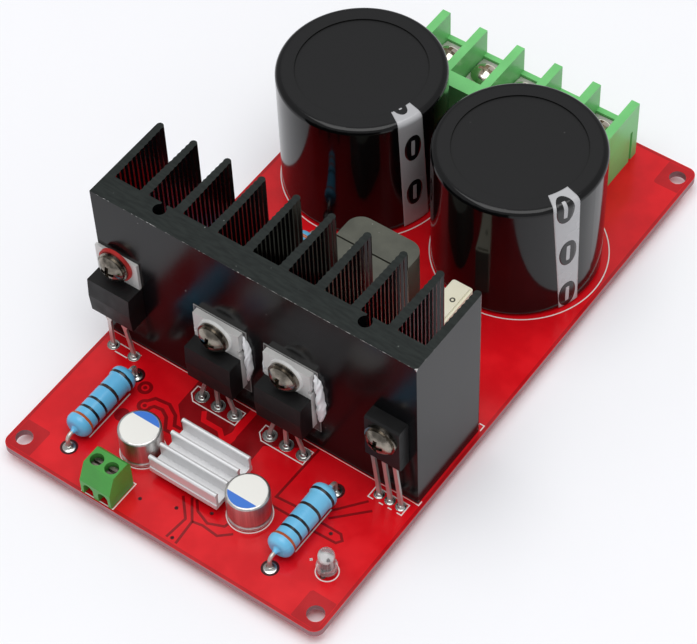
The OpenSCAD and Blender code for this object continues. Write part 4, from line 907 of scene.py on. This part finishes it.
def drawStripes(p):
    for side in pair:
        node = side + "_reservoir_cap"
        low, high = boxMm(node)
        wall, r = (high[0] - low[0]) / 2, p["shoulder"]
        longest = wall - r - p["discR"] + r * np.pi / 2 + high[2] - low[2] - r - p["foot"]
        way, u = np.meshgrid(np.linspace(p["start"], longest, 120), np.linspace(-0.5, 0.5, 18), indexing="ij")
        middle, width = (np.interp(way, [0, p["bendAt"], longest], column) for column in zip(*p["stripe"][side]))
        stripe = sleevePatch(middle + u * width, way, node, p, p["stripeProud"])
        ovals, bars = ([ovalPatch(angle, along, p[kind + "Half"], node, p, p[kind + "Proud"], p[kind + "Power"])
                        for angle, along in p["ovals"][side]] for kind in ("oval", "bar"))
        addPiece(side + "CapStripe", [stripe], finishes["stripe"])
        addPiece(side + "CapOvals", ovals, finishes["oval"])
        addPiece(side + "CapBars", bars, finishes["stripe"])


drawStripes(capStripe)
print("capacitor stripes laid")


# lamp's inside: the two posts and the reflector cup, seen through the lens; places from the lens's middle and foot
lampInside = {"foot": 0.25, "cupX": -0.3, "cupR": 0.8, "cupDepth": 0.35, "cupZ": 2.5, "cupRim": 0.64, "cupFloor": 0.2,
              "coneFrom": 0.7, "coneTo": 0.2, "stemR": 0.3, "postX": 0.85, "postR": 0.24, "postZ": 2.8, "postTip": 0.05}


def drawLampInside(p):
    low, high = boxMm("led_lens")
    x, y = (low + high)[:2] / 2
    base = low[2] + p["foot"]
    rim, floor, top = base + p["cupZ"], base + p["cupZ"] - p["cupDepth"], base + p["postZ"]
    cup = [(0.0, base), (p["stemR"], base), (p["stemR"], rim - p["coneFrom"]), (p["cupR"], rim - p["coneTo"]),
           (p["cupR"], rim), (p["cupRim"], rim), (p["cupFloor"], floor), (0.0, floor)]
    post = [(0.0, base), (p["postR"], base), (p["postR"], top), (0.0, top + p["postTip"])]
    solids = [turned(cup, (x + p["cupX"], y), 20), turned(post, (x + p["postX"], y), 16)]
    addPiece("lampPosts", solids, finishes["tab"])


drawLampInside(lampInside)
print("lamp filled")


# floor and light, in metres and watts
stage = {"half": 1.6, "colour": srgb(249, 249, 252), "sky": (0.97, 0.98, 1.0, 1.0), "strength": 0.5}
softPanel = {"place": (0.05, -0.1, 1.3), "size": 1.2, "power": 12.0}


def addStage(p):
    floorMesh = bpy.data.meshes.new("floor")
    corners = [(x * p["half"], y * p["half"], 0) for x, y in ((-1, -1), (1, -1), (1, 1), (-1, 1))]
    floorMesh.from_pydata(corners, [], [(0, 1, 2, 3)])
    floor = bpy.data.objects.new("floor", floorMesh)
    bpy.context.scene.collection.objects.link(floor)
    floorMesh.materials.append(grainyFinish("paleFloor", p["colour"], 0.6, 300.0, spread=0.004, shine=0.02, bump=0.05,
                                            depth=1e-5))
    world = bpy.data.worlds.new("studio")
    bpy.context.scene.world = world
    world.use_nodes = True
    sky = world.node_tree.nodes["Background"]
    sky.inputs["Color"].default_value = p["sky"]
    sky.inputs["Strength"].default_value = p["strength"]


def addLamp(name, p):
    data = bpy.data.lights.new(name, "AREA")
    data.size, data.energy = p["size"], p["power"]
    lamp = bpy.data.objects.new(name, data)
    aim = Vector(p["place"]).to_track_quat("Z", "Y").to_matrix().to_4x4()
    lamp.matrix_world = Matrix.Translation(p["place"]) @ aim
    bpy.context.scene.collection.objects.link(lamp)


addStage(stage)
addLamp("softPanel", softPanel)
print("stage and lamps set")
